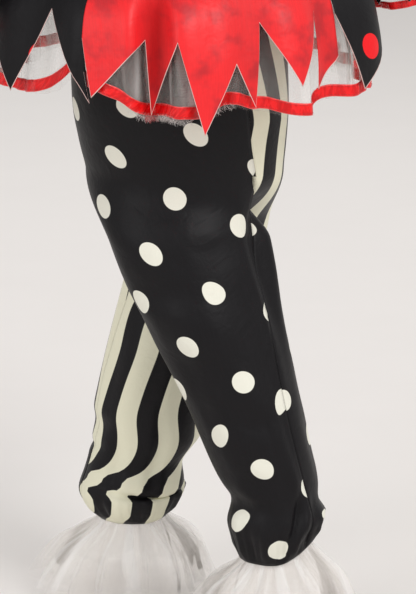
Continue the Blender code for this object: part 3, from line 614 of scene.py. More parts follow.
for side, word in ((1, "left"), (-1, "right")):
    grid = sleeve_grid(side)
    cut, edge = flat_cut(grid, SLEEVE_COLUMNS // 2, True), rim(grid, -1)
    piece = sew_cloth("sleeve_" + word, "satin", grid, cut, black_satin, True, side < 0, raw_edge=edge)

# ----------------------------------------
# Sleeve frills: a short gathered frill of stiff cream net inside each wrist, with a narrow
# red ribbon sewn along its hem.
NET_MESH = 0.0013
NET_THREAD = 0.00026
NET_COLOUR = (0.88, 0.85, 0.80)
NET_FOLDED = (1.0, 0.98, 0.96)
WORN_THIN = -0.65
FRILL_LENGTH = 0.040
FRILL_TUCK = 0.012
FRILL_DEPTH = 0.0025
FRILL_WAVES = 6
FRILL_COLUMNS = 144
FRILL_RIBBON = 0.008
LAYER = 0.0016
RIBBON_RED = (0.90, 0.007, 0.009)
# Darker red for painted shade in the hollows of the ribbon's puckers
RIBBON_PUCKER_SHADE = (0.62, 0.003, 0.005)
SELVEDGE = (0.90, 0.16, 0.15)
RIBBON_BUMP = 0.0009

# Cover of an even net: two sets of threads that cross, with uneven tension
outputs = ("Cover", "Shade", "Folded")
NET_FACE, given, outer = new_group("net mesh", outputs, Mesh=0.0016, Thread=0.0004)
tree, cut = NET_FACE, given["Cut"]
bend = cloud(tree, cut, 60.0, 1.0)
pull = {"i0": bend["Color"], "i1": (0.004,) * 3, "i2": cut}
drawn = add_node(tree, "ShaderNodeVectorMath", {"operation": "MULTIPLY_ADD"}, **pull).outputs[0]
parts = add_node(tree, "ShaderNodeSeparateXYZ", Vector=drawn).outputs
half = maths(tree, "MULTIPLY", given["Mesh"], 0.5)
gaps = [maths(tree, "PINGPONG", parts[axis], half) for axis in range(2)]
cover = maths(tree, "MAXIMUM", *(ramped(tree, gap, given["Thread"], 0.0) for gap in gaps))
doubled = cloud(tree, cut, 1.0, 1.0, 0.3, (38.0, 6.0))[0]
feed(tree, outer, Cover=cover, Shade=bend[0], Folded=ramped(tree, doubled, 0.50, 0.66))


def net(name, colour, mesh_size, thread_size, cover, bare, doubled, sheen):
    """Sheer net: its threads cover this much, more where it lies in doubled folds."""
    made, tree, surface = new_finish(name)
    mesh = use_group(tree, NET_FACE, cut_place(tree), Mesh=mesh_size, Thread=thread_size)
    paint = blend_colours(tree, mesh["Shade"], shaded(colour, 0.90), colour)
    paint = blend_colours(tree, mesh["Folded"], paint, NET_FOLDED)
    alpha = maths(tree, "MULTIPLY_ADD", mesh["Cover"], cover, bare)
    alpha = maths(tree, "MULTIPLY_ADD", mesh["Folded"], doubled, alpha)
    worn = maths(tree, "MULTIPLY_ADD", marked(tree, "raw_edge"), WORN_THIN, 1.0)
    rough = maths(tree, "MULTIPLY_ADD", mesh["Shade"], 0.2, 0.5)
    feed(tree, surface, Base_Color=paint, Alpha=maths(tree, "MULTIPLY", alpha, worn))
    feed(tree, surface, Roughness=rough, Sheen_Weight=sheen)
    return made, "net"


stiff_net = net("stiff cream net", NET_COLOUR, NET_MESH, NET_THREAD, 0.22, 0.01, 0.30, 0.3)

# Ribbed face of satin ribbon, puckered where the stitching draws it up. Its pucker mask is low in the
# hollows, where shade is painted on the ribbon.
RIBBON_FACE, given, outer = new_group("ribbon face", ("Height", "Pucker"))
tree, cut = RIBBON_FACE, given["Cut"]
ribs = add_node(tree, "ShaderNodeTexWave", {"bands_direction": "X"}, Vector=cut, Scale=420.0)
drawn = cloud(tree, cut, 150.0, 3.0, 0.6, (1.0, 0.35))[0]
height = maths(tree, "MULTIPLY_ADD", ribs.outputs["Fac"], 0.04, drawn)
feed(tree, outer, Height=height, Pucker=ramped(tree, drawn, 0.35, 0.65))

made, tree, surface = new_finish("red satin ribbon")
face = use_group(tree, RIBBON_FACE, cut_place(tree))
# Painted shade: darker red where the pucker mask is low, in the hollows
paint = blend_colours(tree, face["Pucker"], RIBBON_PUCKER_SHADE, RIBBON_RED)
paint = blend_colours(tree, ramped(tree, marked(tree, "raw_edge"), 0.55, 0.95), paint, SELVEDGE)
rough = maths(tree, "MULTIPLY_ADD", face["Pucker"], 0.14, 0.18)
feed(tree, surface, Base_Color=paint, Roughness=rough, Specular_IOR_Level=0.4)
feed(tree, surface, Normal=bumped(tree, face["Height"], RIBBON_BUMP))
red_ribbon = made, "red_ribbon"


def moved_out(grid, distance):
    """The rings of a grid moved along the sheet's own normals."""
    ring = np.concatenate([grid[:, -1:], grid, grid[:, :1]], axis=1)
    normal = np.cross(np.gradient(grid, axis=0), ring[:, 2:] - ring[:, :-2])
    return grid + distance * normal / np.linalg.norm(normal, axis=2)[..., None]


def gathered_cut(grid):
    """The cut of net that is gathered along its top: as wide there as at its hem."""
    cut = flat_cut(grid, loop=True)
    cut[..., 0] = cut[-1, :, 0]
    return cut


def hem_strip(grid, width, steps=4):
    """The band of this width along a sheet's hem, in rows from its top edge down."""
    last, before = grid[-1], grid[-4]
    up = (before - last) / np.linalg.norm(before - last, axis=1)[:, None]
    return np.array([last + up * width * (1 - r / steps) for r in range(steps + 1)])


def sew_ribbon(node, strip, wall, side=1):
    """A ribbon over a hem, with its two rows of stitches. Side is -1 on the right arm."""
    cut, edge = flat_cut(strip, loop=True), rim(strip, 0, -1)
    band = sew_cloth(node, "band", strip, cut, red_ribbon, True, side < 0, wall, raw_edge=edge)
    rows = moved_out(strip, side * 0.0003)
    seams = stitches(node, [rows[1], rows[-2]], red_thread)
    return band


def frill_grid(side):
    tuck = FRILL_TUCK / math.dist(SLEEVE[-2][2:4], SLEEVE[-1][2:4])
    tucked = [b + (a - b) * tuck for a, b in zip(SLEEVE[-2], SLEEVE[-1])]
    turn = around(FRILL_COLUMNS, -90)
    rows = [sleeve_ring(tucked, turn, side, -2 * LAYER + 0 * turn)]
    wave = np.sin(math.pi / 2 * np.arange(FRILL_COLUMNS) * 4 * FRILL_WAVES / FRILL_COLUMNS)
    wave = wave + 0.25 * sine(turn * 17 + 40 * side)
    for t in np.linspace(0, 1, 9):
        ring = sleeve_ring(SLEEVE[-1], turn, side, -(2 * LAYER + FRILL_DEPTH * t * (0.8 + wave)))
        rows.append(ring + sleeve_fall(side) * t * (FRILL_LENGTH - FRILL_TUCK))
    return np.array(rows)


for side, word in ((1, "left"), (-1, "right")):
    grid = frill_grid(side)
    cut = gathered_cut(grid)
    frill = sew_cloth("sleeve_net_" + word, "frill", grid, cut, stiff_net, True, side < 0, wall=0)
    strip = moved_out(hem_strip(grid, FRILL_RIBBON), side * 0.0010)
    band = sew_ribbon("sleeve_ribbon_" + word, strip, 0.0004, side)

# ----------------------------------------
# Skirt: four panels sewn to the waist, a front and back in red satin and two black sides,
# all cut to long uneven points. The black sides carry large red dots.
BELL = (  # height, half width, half depth, inset of the petticoat, inset of the layer under it
    (0.7193, 0.103, 0.086, 0.0018, 0.0033), (0.710, 0.116, 0.101, 0.0030, 0.0042),
    (0.695, 0.144, 0.133, 0.0060, 0.0120), (0.678, 0.170, 0.163, 0.0090, 0.0180),
    (0.655, 0.189, 0.185, 0.0120, 0.0240), (0.620, 0.198, 0.197, 0.0140, 0.0280),
    (0.580, 0.203, 0.202, 0.0150, 0.0290), (0.530, 0.205, 0.205, 0.0150, 0.0290),
)
FLUTES = (  # angle, half width in degrees, depth (minus is inward)
    (-170, 10, -0.008), (-148, 9, 0.007), (-127, 9, -0.008), (-108, 8, 0.006), (-90, 9, -0.007),
    (-72, 8, 0.005), (-57, 7, -0.006), (-43, 6, 0.005), (-33, 5, 0.003), (-28, 3, 0.004),
    (-21, 3.4, -0.023), (-13, 5, 0.008), (6, 5, -0.007), (19, 6, 0.006), (33, 5, -0.008),
    (54, 7, 0.009), (70, 6, -0.006), (90, 10, -0.008), (112, 8, 0.006), (129, 8, -0.008),
    (147, 8, 0.006), (164, 7, -0.006),
)
# Depth of a flute at which its fold takes the full painted shade
SUNK_DEPTH = 0.020
FLUTE_TOP = 0.705
FLUTE_FULL = 0.640
HEM_FRONT = (  # angle, height of each tip and slit, between the seam corners
    (-41, 0.628), (-37.5, 0.573), (-24, 0.626), (-22.3, 0.555), (-14.4, 0.627), (-7.5, 0.539),
    (1.9, 0.604), (7.4, 0.562), (9.6, 0.641), (19.8, 0.580), (29.4, 0.646), (26.9, 0.574),
    (38, 0.600),
)
HEM_LEFT = (
    (38, 0.640), (46.3, 0.565), (73, 0.640), (84, 0.568), (97, 0.632), (108, 0.560), (118, 0.645),
    (129, 0.572), (140, 0.636),
)
HEM_BACK = (
    (140, 0.622), (146, 0.570), (157, 0.634), (163, 0.558), (171, 0.624), (181, 0.542),
    (190, 0.610), (197, 0.563), (203, 0.638), (211, 0.572), (219, 0.612),
)
HEM_RIGHT = (
    (-141, 0.640), (-130, 0.566), (-119, 0.632), (-107, 0.560), (-96, 0.642), (-84, 0.572),
    (-74, 0.618), (-65.8, 0.569), (-54, 0.650), (-38.4, 0.567), (-41, 0.612),
)
SKIRT_FALL = 1.5
SKIRT_STEPS = 14
SKIRT_ROWS = 46
SKIRT_SEAM_LEAN = 2.2
SKIRT_RIPPLE = 0.0016
GATHERS = 96
GATHER_DEPTH = 0.0011
POINT_TUCK = 0.0024
PROBE = 0.002
RED_DOT = 0.0125
RED_DOTS_APART = (0.130, 0.170)
RED_DOTS_START = (-0.1605, 0.1595)


def bumps(table, angle, start=0.0):
    """The start, with each row of the table added where its angle is near."""
    for centre, half, amount in table:
        start = start + amount * ease(1 - apart(angle - centre) / half / 2)
    return start


def flute_depth(angle, height):
    return bumps(FLUTES, angle) * ease((FLUTE_TOP - height) / (FLUTE_TOP - FLUTE_FULL))


def bell(angle, height, layer=0, swell=0.0):
    """A point on a skirt layer: 0 is the skirt, 1 the petticoat, 2 the net under it."""
    values = read(BELL, height)
    widening = read(BELL, height - PROBE)[0] - values[0]
    slope = np.hypot(widening, PROBE)
    inset = values[1 + layer] if layer else 0.0
    x, y = oval(angle, *values[:2])
    reach = inset * (-PROBE / slope) + flute_depth(angle, height) + swell
    length = np.hypot(x, y)
    return at(x + x / length * reach, y + y / length * reach, height - inset * (widening / slope))


def fanned_cut(grid):
    """The cut of a flared panel: across by how far round it lies, down by how far it falls."""
    turn = np.unwrap(np.arctan2(grid[..., 0], -grid[..., 1]))
    middle = turn.shape[1] // 2
    level = grid[:, middle, 2]
    steps = np.hypot(np.diff(read(BELL, level)[0]), np.diff(level))
    fallen = np.cumsum(np.pad(steps, (1, 0)))
    order = np.argsort(level)
    down = np.interp(grid[..., 2], level[order], fallen[order])
    beyond = np.minimum(0.0, grid[..., 2] - level.min())
    half_width, half_depth = read(BELL, grid[..., 2])[:2]
    reach = (half_width + half_depth) / 2
    return np.stack([(turn - turn[0, middle]) * reach, down - beyond], -1)


def skirt_grid(hem, seed):
    """A panel's points, and how far sunk each lies in a fold, which sets the painted shade there."""
    tops = [angle for angle, _ in hem]
    for k in range(1, len(hem) - 1, 2):
        tops[k] = (hem[k - 1][0] + hem[k + 1][0]) / 2
    corners = np.array([(top, *point) for top, point in zip(tops, hem)])
    lean = math.degrees(SEAM / 2 / BELL[-1][1]) * SKIRT_SEAM_LEAN
    corners[0, :2] += lean
    corners[-1, :2] -= lean
    last = len(hem) - 1
    place = np.linspace(0, last, last * SKIRT_STEPS + 1)
    top, angle, height = (np.interp(place, np.arange(last + 1), column) for column in corners.T)
    ends = ease(place) * ease(last - place)
    rows, sunk = [], []
    for t in (*np.linspace(0, 0.988, SKIRT_ROWS), 1.0):
        turn = top + (angle - top) * t
        level = BELL[0][0] + (height - BELL[0][0]) * t**SKIRT_FALL
        gather = GATHER_DEPTH * sine(GATHERS * turn + 60 * sine(7 * turn))
        gather = gather * ease(t / 0.05) * ease(1 - t / 0.75)
        uneven = SKIRT_RIPPLE * ripples(turn, level, 0.040, seed) * ease(t / 0.2)
        past = ease((turn - hem[-1][0] + 2) / 2) * ease(2 * t - 1) * POINT_TUCK
        rows.append(bell(turn, level, 0, (gather + uneven) * ends - past))
        # How far this point is sunk in a flute: the mask for the painted shade
        sunk.append(np.clip(-flute_depth(turn, level) / SUNK_DEPTH, 0, 1))
    return np.array(rows), np.array(sunk)


# Round spots on a staggered grid: a spot at each corner of a cell and one in its middle
sizes = {"Across": 0.08, "Down": 0.10, "Radius": 0.0115, "Softness": 0.0003}
SPOTS, given, outer = new_group("staggered spots", ("Spot",), **sizes)
tree, gaps = SPOTS, []
for shift in (False, True):
    squares = []
    parts = add_node(tree, "ShaderNodeSeparateXYZ", Vector=given["Cut"]).outputs
    for value, label in zip(parts, ("Across", "Down")):
        half = maths(tree, "MULTIPLY", given[label], 0.5)
        value = maths(tree, "ADD", value, half) if shift else value
        value = maths(tree, "PINGPONG", value, half)
        squares.append(maths(tree, "MULTIPLY", value, value))
    gaps.append(maths(tree, "SQRT", maths(tree, "ADD", *squares)))
low, high = (maths(tree, way, given["Radius"], given["Softness"]) for way in ("ADD", "SUBTRACT"))
feed(tree, outer, Spot=ramped(tree, maths(tree, "MINIMUM", *gaps), low, high))


def placed(tree, cut, x, y=0.0):
    """The cut seen from this place on it, where a print starts."""
    settings = {"vector_type": "TEXTURE"}
    return add_node(tree, "ShaderNodeMapping", settings, Vector=cut, Location=(x, y, 0)).outputs[0]


def spotted(colour, cell, radius, start):
    """A print of spots in one colour, on cells of this size from this place on the cut."""

    def lay(tree, cut, paint):
        sizes = {"Across": cell[0], "Down": cell[1], "Radius": radius}
        spots = use_group(tree, SPOTS, placed(tree, cut, *start), **sizes)
        return blend_colours(tree, spots["Spot"], paint, colour)

    return lay


red_dots = spotted(RED, RED_DOTS_APART, RED_DOT, RED_DOTS_START)
black = (BLACK, BLACK_DEEP)
red_panel = (red_satin, (0.290, 0.230), 0.040)
dotted = satin("black satin with red dots", "black_red_dots", *black, edge=RAW_THREAD, print_on=red_dots)
dotted_panel = (dotted, (0.370, 0.210), 0.048)
for word, hem, (finish, flat, area), seed in (
    ("front", HEM_FRONT, red_panel, 11.0),
    ("side_left", HEM_LEFT, dotted_panel, 12.0),
    ("back", HEM_BACK, red_panel, 13.0),
    ("side_right", HEM_RIGHT, dotted_panel, 14.0),
):
    grid, sunk = skirt_grid(hem, seed)
    # The raw hem, and the mask for painted shade in the sunk folds
    marks = {"raw_edge": rim(grid, -1), "painted_shade_in_folds": sunk}
    piece = sew_cloth("skirt_" + word, "satin", grid, fanned_cut(grid), finish, **marks)

# ----------------------------------------
# Petticoat: a full gathered layer of stiff net with a red satin ribbon sewn round its hem,
# over a second, plainer layer of the same net. Both hang from the waist seam.
PETTICOAT_TOP = 0.7185
PETTICOAT_HEM = 0.559
PETTICOAT_WAVES = 17
PETTICOAT_WAVE_DEPTH = 0.0085
HEM_LIFTS = (  # angle, half width in degrees, lift where the net is pushed up
    (-72, 14, 0.010), (-54, 9, 0.012), (-47, 4, 0.013), (-39, 11, 0.022), (-24, 4, -0.006),
    (-16, 5, 0.005), (1, 4, 0.010), (11, 5, 0.004), (31, 3, -0.006), (38, 4, 0.006),
    (54, 8, 0.006), (120, 12, 0.010), (200, 14, 0.012),
)
UNDER_TOP = 0.712
UNDER_DROP = 0.003
UNDER_WAVES = 11
UNDER_WAVE_DEPTH = 0.0050
WAVE_DRIFT = 40
CRINKLE = 0.0012
UNDER_GORES = (("front", 392, 488), ("left", 48, 168), ("back", 168, 272), ("right", 272, 392))
NET_FALL = 1.3
NET_ROWS = 30
NET_COLUMNS = 374
UNDER_COLUMNS = 440
RIBBON_WIDTH = 0.012
FRAYED = (  # first angle, last angle, whether in pink threads
    (-29, -11, False), (-8, 2, False), (84, 110, False), (150, 171, False),
    (-140, -122, False), (-25.5, -21, True), (-133, -130, True),
)
FRAYS = {"Pitch": 0.00035, "Length": 0.0085, "Thread": 0.00011, "Slant": 1.1}
FRAY_PLACES = 40


def petticoat_hem(angle):
    turn = np.radians(angle)
    hem = PETTICOAT_HEM - 0.006 * np.cos(turn - 0.2) + 0.003 * np.sin(8 * turn + 1.0)
    return bumps(HEM_LIFTS, angle, hem)


def under_hem(angle):
    return petticoat_hem(angle) - UNDER_DROP


def net_grid(layer, top, hem, waves, wave_depth, columns):
    angle = around(columns)
    rows = []
    for r in range(NET_ROWS + 1):
        height = top + (hem(angle) - top) * (r / NET_ROWS) ** NET_FALL
        fallen = ease((top - height) / (top - hem(angle)))
        wave = wave_depth * fallen * sine(waves * angle + WAVE_DRIFT * sine(3 * angle))
        wave = wave + CRINKLE * fallen * sine(61 * angle + 90 * sine(5 * angle))
        rows.append(bell(angle, height, layer, wave))
    return np.array(rows)


def loose(tree, given, points):
    """Each thread end lies its own way, a little off its place, and is of its own length."""
    turned = scattered(tree, given["Slant"], 11)
    offset = scattered(tree, maths(tree, "MULTIPLY", given["Length"], 0.22), 12)
    longer = add_node(tree, "FunctionNodeRandomValue", {"data_type": "FLOAT"}, Seed=13).outputs[1]
    return offset, {"Rotation": turned, "Scale": maths(tree, "MULTIPLY_ADD", longer, 0.8, 0.3)}


FRAY_TREE = thread_tree("frayed threads", loose, "Slant", 3, "NONE")
grid = net_grid(1, PETTICOAT_TOP, petticoat_hem, PETTICOAT_WAVES, PETTICOAT_WAVE_DEPTH, NET_COLUMNS)
petticoat = sew_cloth("petticoat", "net", grid, gathered_cut(grid), stiff_net, loop=True, wall=0)
strip = moved_out(hem_strip(grid, RIBBON_WIDTH, 6), 0.0012)
band = sew_ribbon("petticoat_ribbon", strip, 0.0005)
paths = {False: [], True: []}
for first, last, tuft in FRAYED:
    place = np.linspace(first, last, FRAY_PLACES) % 360 / 360 * NET_COLUMNS
    path = strip[-1][np.round(place).astype(int) % NET_COLUMNS]
    paths[tuft].append(path - (0, 0, FRAYS["Length"] / 4))
net_thread = thread("net thread ends", "net", (0.90, 0.86, 0.82))
pink_thread = thread("pink thread ends", "net", (0.90, 0.22, 0.22))
denser = {**FRAYS, "Pitch": FRAYS["Pitch"] / 3}
fray = grown("petticoat_frayed_edge", FRAY_TREE, paths[False], False, net_thread, **FRAYS)
tuft = grown("petticoat_pink_tuft", FRAY_TREE, paths[True], False, pink_thread, **denser)
grid = net_grid(2, UNDER_TOP, under_hem, UNDER_WAVES, UNDER_WAVE_DEPTH, UNDER_COLUMNS)
for word, first, last in UNDER_GORES:
    rows = grid[:, np.arange(first, last + 1) % UNDER_COLUMNS]
    cut = flat_cut(rows, (last - first) // 2)
    gore = sew_cloth("petticoat_under_" + word, "net", rows, cut, stiff_net, wall=0)

# ----------------------------------------
# Waistband: the trousers' top is a casing of black satin gathered on elastic, which two
# rows of black stitches close.
WAISTBAND_WIDTH = 0.026
WAISTBAND_RISE = 0.001
WAISTBAND_INSET = 0.0036
WAISTBAND_GATHER = 0.0006

turn = around(360)
rows = []
for t in np.linspace(0, 1, 13):
    height = WAIST_HEIGHT + WAISTBAND_RISE + WAISTBAND_WIDTH * (1 - t)
    from_middle = abs(2 * t - 1)
    drawn = WAISTBAND_GATHER * sine(58 * turn + 80 * sine(5 * turn)) * (1 - 0.5 * from_middle)
    drawn = drawn - WAISTBAND_GATHER * ease(from_middle * 4 - 3)
    rows.append(at(*oval(turn, *(read(BODICE, height) - WAISTBAND_INSET), drawn), height))
rows = np.array(rows)
cut = flat_cut(rows, loop=True)
waistband = sew_cloth("trouser_waistband", "casing", rows, cut, plain_black, loop=True, wall=0.0008)
out = moved_out(rows, 0.0005)
seams = stitches("trouser_waistband", [out[2], out[-3]], black_thread)

# ----------------------------------------
# Trousers: a front and a back for each leg, in heavy black satin printed with cream dots on
# the right leg and cream stripes on the left. The wide legs are gathered in at the ankles.
HIPS = (  # height, centre x, half width, half depth, angle of the front seam
    (0.455, 0.008, 0.098, 0.088, 33), (0.470, 0.007, 0.100, 0.088, 32),
    (0.500, 0.005, 0.105, 0.089, 28), (0.535, 0.003, 0.109, 0.089, 26),
    (0.600, 0.001, 0.108, 0.088, 16), (0.660, 0.000, 0.103, 0.086, 6),
    (0.712, 0.000, 0.0990, 0.0820, 0), (0.727, 0.000, 0.0986, 0.0816, 0),
)
LEG_DOTTED = (  # height, centre x, centre y, half width, half depth
    (0.470, -0.016, -0.034, 0.084, 0.056), (0.429, -0.008, -0.046, 0.081, 0.054),
    (0.375, 0.004, -0.061, 0.076, 0.053), (0.316, 0.021, -0.074, 0.068, 0.053),
    (0.246, 0.044, -0.086, 0.058, 0.052), (0.210, 0.054, -0.092, 0.054, 0.050),
    (0.174, 0.065, -0.097, 0.050, 0.047), (0.146, 0.074, -0.101, 0.045, 0.043),
    (0.122, 0.075, -0.102, 0.049, 0.046), (0.104, 0.074, -0.102, 0.043, 0.042),
    (0.086, 0.073, -0.102, 0.036, 0.036),
)
LEG_STRIPED = (
    (0.470, 0.036, 0.034, 0.074, 0.056), (0.429, 0.040, 0.045, 0.070, 0.055),
    (0.386, 0.038, 0.056, 0.068, 0.054), (0.332, 0.027, 0.062, 0.069, 0.054),
    (0.284, 0.010, 0.066, 0.064, 0.054), (0.212, -0.012, 0.069, 0.058, 0.053),
    (0.173, -0.017, 0.070, 0.057, 0.052), (0.138, -0.030, 0.070, 0.050, 0.047),
    (0.114, -0.032, 0.069, 0.055, 0.051), (0.099, -0.033, 0.068, 0.048, 0.046),
    (0.086, -0.032, 0.068, 0.036, 0.036),
)
CROTCH_HEIGHT = 0.470
TROUSER_TOP = 0.727
TROUSER_HEM = 0.086
HALF_SEAM = 0.00018
LEG_BLEND = 0.065
DIVIDE_BLEND = 0.085
DIVIDE_ANGLE = 68
LEG_CLEARANCE = 0.003
FOLDS_DOTTED = (  # angle, height, half width in degrees, half height, slant, depth
    (52, 0.410, 12, 0.080, 0, -0.007), (72, 0.400, 12, 0.080, 0, 0.004),
    (-30, 0.330, 30, 0.030, 0, 0.004), (-45, 0.285, 30, 0.022, 0, -0.004),
    (-20, 0.452, 24, 0.014, 0, -0.004), (5, 0.425, 26, 0.013, 0, 0.003),
    (-50, 0.362, 26, 0.016, 0, -0.004), (28, 0.300, 9, 0.060, 0, -0.003),
    (-10, 0.236, 26, 0.015, 0, -0.003), (18, 0.196, 8, 0.045, 60, 0.003),
    (-32, 0.172, 22, 0.012, 0, -0.003), (10, 0.130, 6, 0.030, -380, -0.007),
    (24, 0.130, 8, 0.030, -380, 0.003), (-65, 0.147, 34, 0.012, 0, -0.004),
    (170, 0.300, 34, 0.024, 0, -0.005), (185, 0.250, 34, 0.022, 0, 0.003),
)
FOLDS_STRIPED = (
    (-85, 0.186, 34, 0.013, 0, -0.005), (-70, 0.128, 40, 0.020, 0, 0.004),
    (-40, 0.150, 9, 0.040, 120, -0.003), (5, 0.160, 9, 0.045, 120, -0.004),
    (80, 0.150, 34, 0.014, 0, -0.004), (20, 0.230, 16, 0.050, 0, -0.004),
    (-40, 0.250, 16, 0.060, 0, 0.004), (175, 0.310, 34, 0.026, 0, -0.005),
    (150, 0.180, 30, 0.016, 0, 0.004),
)
TUCKS = {  # angle, height, half width in degrees, half height, depth, how far the cloth hangs over
    -1: ((72, 0.150, 30, 0.016, 0.0015, 0.002),),
    1: ((26, 0.122, 42, 0.008, 0.014, 0.013), (-95, 0.166, 30, 0.009, 0.003, 0.002)),
}
HEM_RISES = {-1: (82, 62, 0.030), 1: (100, 60, 0.006)}  # angle, half width in degrees, rise
HEM_RISE_REACH = 0.060
HEM_FLARE = 0.30
HEM_FLARE_REACH = 0.040
ANKLE_GATHER = 0.0022
ANKLE_CRINKLE = 0.0010
ANKLE_GATHER_REACH = 0.060
OUTER_COLUMNS = 72
INNER_COLUMNS = 40
AROUND = OUTER_COLUMNS + INNER_COLUMNS
OUTER_SPAN = 229
FIRST_ANGLE = {-1: 55, 1: 15}
LEG_TWIST = {-1: -36, 1: -35}
TWIST_HEIGHT = 0.300
SIDE_COLUMN = {-1: 52, 1: 36}
INSEAM_COLUMN = {-1: 108, 1: 92}
FRONT_GRAIN_COLUMN = 24
BACK_GRAIN_COLUMN = 10
LEG_SEAM = 0.0004
# The cloth's own grain wanders from the legs' columns, and long folds take some of it up:
# distance down the cut, drift across, then what the fold to the right of the middle takes up
# across and down, and the one to its left
GRAIN_DOTTED = (
    (0.19, 0.008, 0.0115, 0.012, 0.000, 0.000), (0.28, 0.033, 0.0170, 0.008, 0.000, -0.001),
    (0.33, 0.050, 0.0195, 0.006, 0.000, -0.002), (0.38, 0.065, 0.0160, 0.010, 0.000, -0.001),
    (0.42, 0.065, 0.0220, 0.013, 0.001, -0.002), (0.46, 0.064, 0.0040, 0.016, 0.002, -0.003),
    (0.52, 0.057, -0.006, 0.018, 0.007, -0.007), (0.58, 0.048, 0.0000, 0.014, 0.000, -0.011),
    (0.66, 0.048, 0.0000, 0.010, -0.007, -0.013),
)
GRAIN_STRIPED = [(*row, 0, 0, 0, 0) for row in (
    (0.21, -0.020), (0.27, -0.005), (0.31, -0.002), (0.44, 0.012), (0.50, 0.002), (0.57, -0.001),
    (0.61, -0.006), (0.628, -0.002), (0.641, 0.017), (0.655, 0.022), (0.671, 0.031),
)]
GRAIN_DOTTED_BACK = [(*row, 0, 0, -0.010, 0) for row in (
    (0.34, 0.178), (0.44, 0.1725), (0.48, 0.158), (0.53, 0.1455), (0.66, 0.150),
)]
BACK_CUT_LOWER = 0.0348
DOTTED_TILT = 0.15
FOLD_START = 0.011
FOLD_WIDTH = 0.030
BODY_ROWS = np.linspace(TROUSER_TOP, CROTCH_HEIGHT, 50)
LEG_ROWS = np.linspace(CROTCH_HEIGHT, TROUSER_HEM, 100)[1:]
CREAM = (0.80, 0.79, 0.69)
CREAM_STRIPE = (0.79, 0.77, 0.60)
CREAM_DOT = 0.0115
CREAM_DOTS_APART = (0.083, 0.0945)
CREAM_DOTS_START = (0.0, 0.2813)
STRIPE = 0.0225
PRINT_EDGE = 0.0003


def hip_point(height, share, side):
    centre, half_width, half_depth, seam = read(HIPS, height)
    edge = np.degrees(HALF_SEAM / half_depth)
    x, y = oval(seam + side * (edge + share * (180 - 2 * edge)), half_width, half_depth)
    return at(centre + x, y, height)


def kept_apart(points, height, side):
    """The points, moved back where needed to their own leg's side of the parting."""
    turn = ease((CROTCH_HEIGHT - height) / DIVIDE_BLEND)
    centre, _, _, seam = read(HIPS, CROTCH_HEIGHT)
    between = (read(LEG_DOTTED, height)[:2] + read(LEG_STRIPED, height)[:2]) / 2
    middle = np.array((centre, 0.0)) * (1 - turn) + between * turn
    along = math.radians(seam + (DIVIDE_ANGLE - seam) * turn)
    away = np.array((math.cos(along), math.sin(along))) * side
    clear = 0.0003 + LEG_CLEARANCE * min(1.0, 3 * turn)
    short = np.maximum(0.0, clear - (points[:, :2] - middle) @ away)
    return points + np.concatenate([np.outer(short, away), np.zeros((len(points), 1))], 1)


def hem_rise(angle, side):
    centre, half, rise = HEM_RISES[side]
    return rise * ease(1 - apart(angle - centre) / half / FOLD_REACH)


def leg_ring(table, creases, height, side):
    """A ring round one leg, blended from the hips' outline into the leg's own."""
    x, y, half_width, half_depth = read(table, height)
    own = ease((CROTCH_HEIGHT - height) / LEG_BLEND)
    twisted = 1 - (1 - min(1.0, (CROTCH_HEIGHT - height) / TWIST_HEIGHT)) ** 2
    front, back = hip_point(CROTCH_HEIGHT, np.array((0.0, 1.0)), side)
    outer = np.arange(OUTER_COLUMNS + 1) / OUTER_COLUMNS
    inner = np.arange(1, INNER_COLUMNS)[:, None] / INNER_COLUMNS
    body = np.concatenate([hip_point(CROTCH_HEIGHT, outer, side), back + (front - back) * inner])
    body[:, 2] = height
    turned = np.concatenate([OUTER_SPAN * outer, OUTER_SPAN + (360 - OUTER_SPAN) * inner[:, 0]])
    angle = FIRST_ANGLE[side] + LEG_TWIST[side] * twisted + side * turned
    above = height - TROUSER_HEM
    gather = ANKLE_GATHER * sine(9 * angle) + ANKLE_CRINKLE * sine(31 * angle + 60 * sine(4 * angle))
    gather = gather * ease((TROUSER_HEM + ANKLE_GATHER_REACH - height) / ANKLE_GATHER_REACH)
    swell = gather * ease(above / 0.012) + folds(creases, angle, height)
    swell = swell + RIPPLE * own * ripples(angle, height, 0.032, 20.0 + side)
    flare = ease((TROUSER_HEM + HEM_FLARE_REACH - height) / HEM_FLARE_REACH)
    swell = swell + HEM_FLARE * hem_rise(angle, side) * flare
    rise = hem_rise(angle, side) * ease((TROUSER_HEM + HEM_RISE_REACH - height) / HEM_RISE_REACH)
    sag = 0 * angle
    for centre, middle, half, half_height, depth, hang in TUCKS[side]:
        reach = bumps([(centre, half, 1.0)], angle)
        up = (height - middle) / half_height
        swell = swell - depth * reach * ease(1 - abs(up))
        swell = swell + 0.5 * depth * reach * ease(1 - abs(up - 1.6) / 1.6)
        sag = sag + hang * reach * ease(1 - abs(up - 0.9) / 2.2)
    leg_x, leg_y = oval(angle, half_width, half_depth, swell)
    ring = kept_apart(body + (at(x + leg_x, y + leg_y, height) - body) * own, height, side)
    ring[:, 2] += rise - sag
    return ring


def trouser_grid(table, creases, side):
    """Rings of points from the waist down; above the crotch the inner columns are empty."""
    share = np.arange(OUTER_COLUMNS + 1) / OUTER_COLUMNS
    empty = np.full((INNER_COLUMNS - 1, 3), np.nan)
    body = [np.concatenate([hip_point(height, share, side), empty]) for height in BODY_ROWS[:-1]]
    legs = [leg_ring(table, creases, height, side) for height in (CROTCH_HEIGHT, *LEG_ROWS)]
    return np.array(body + legs)


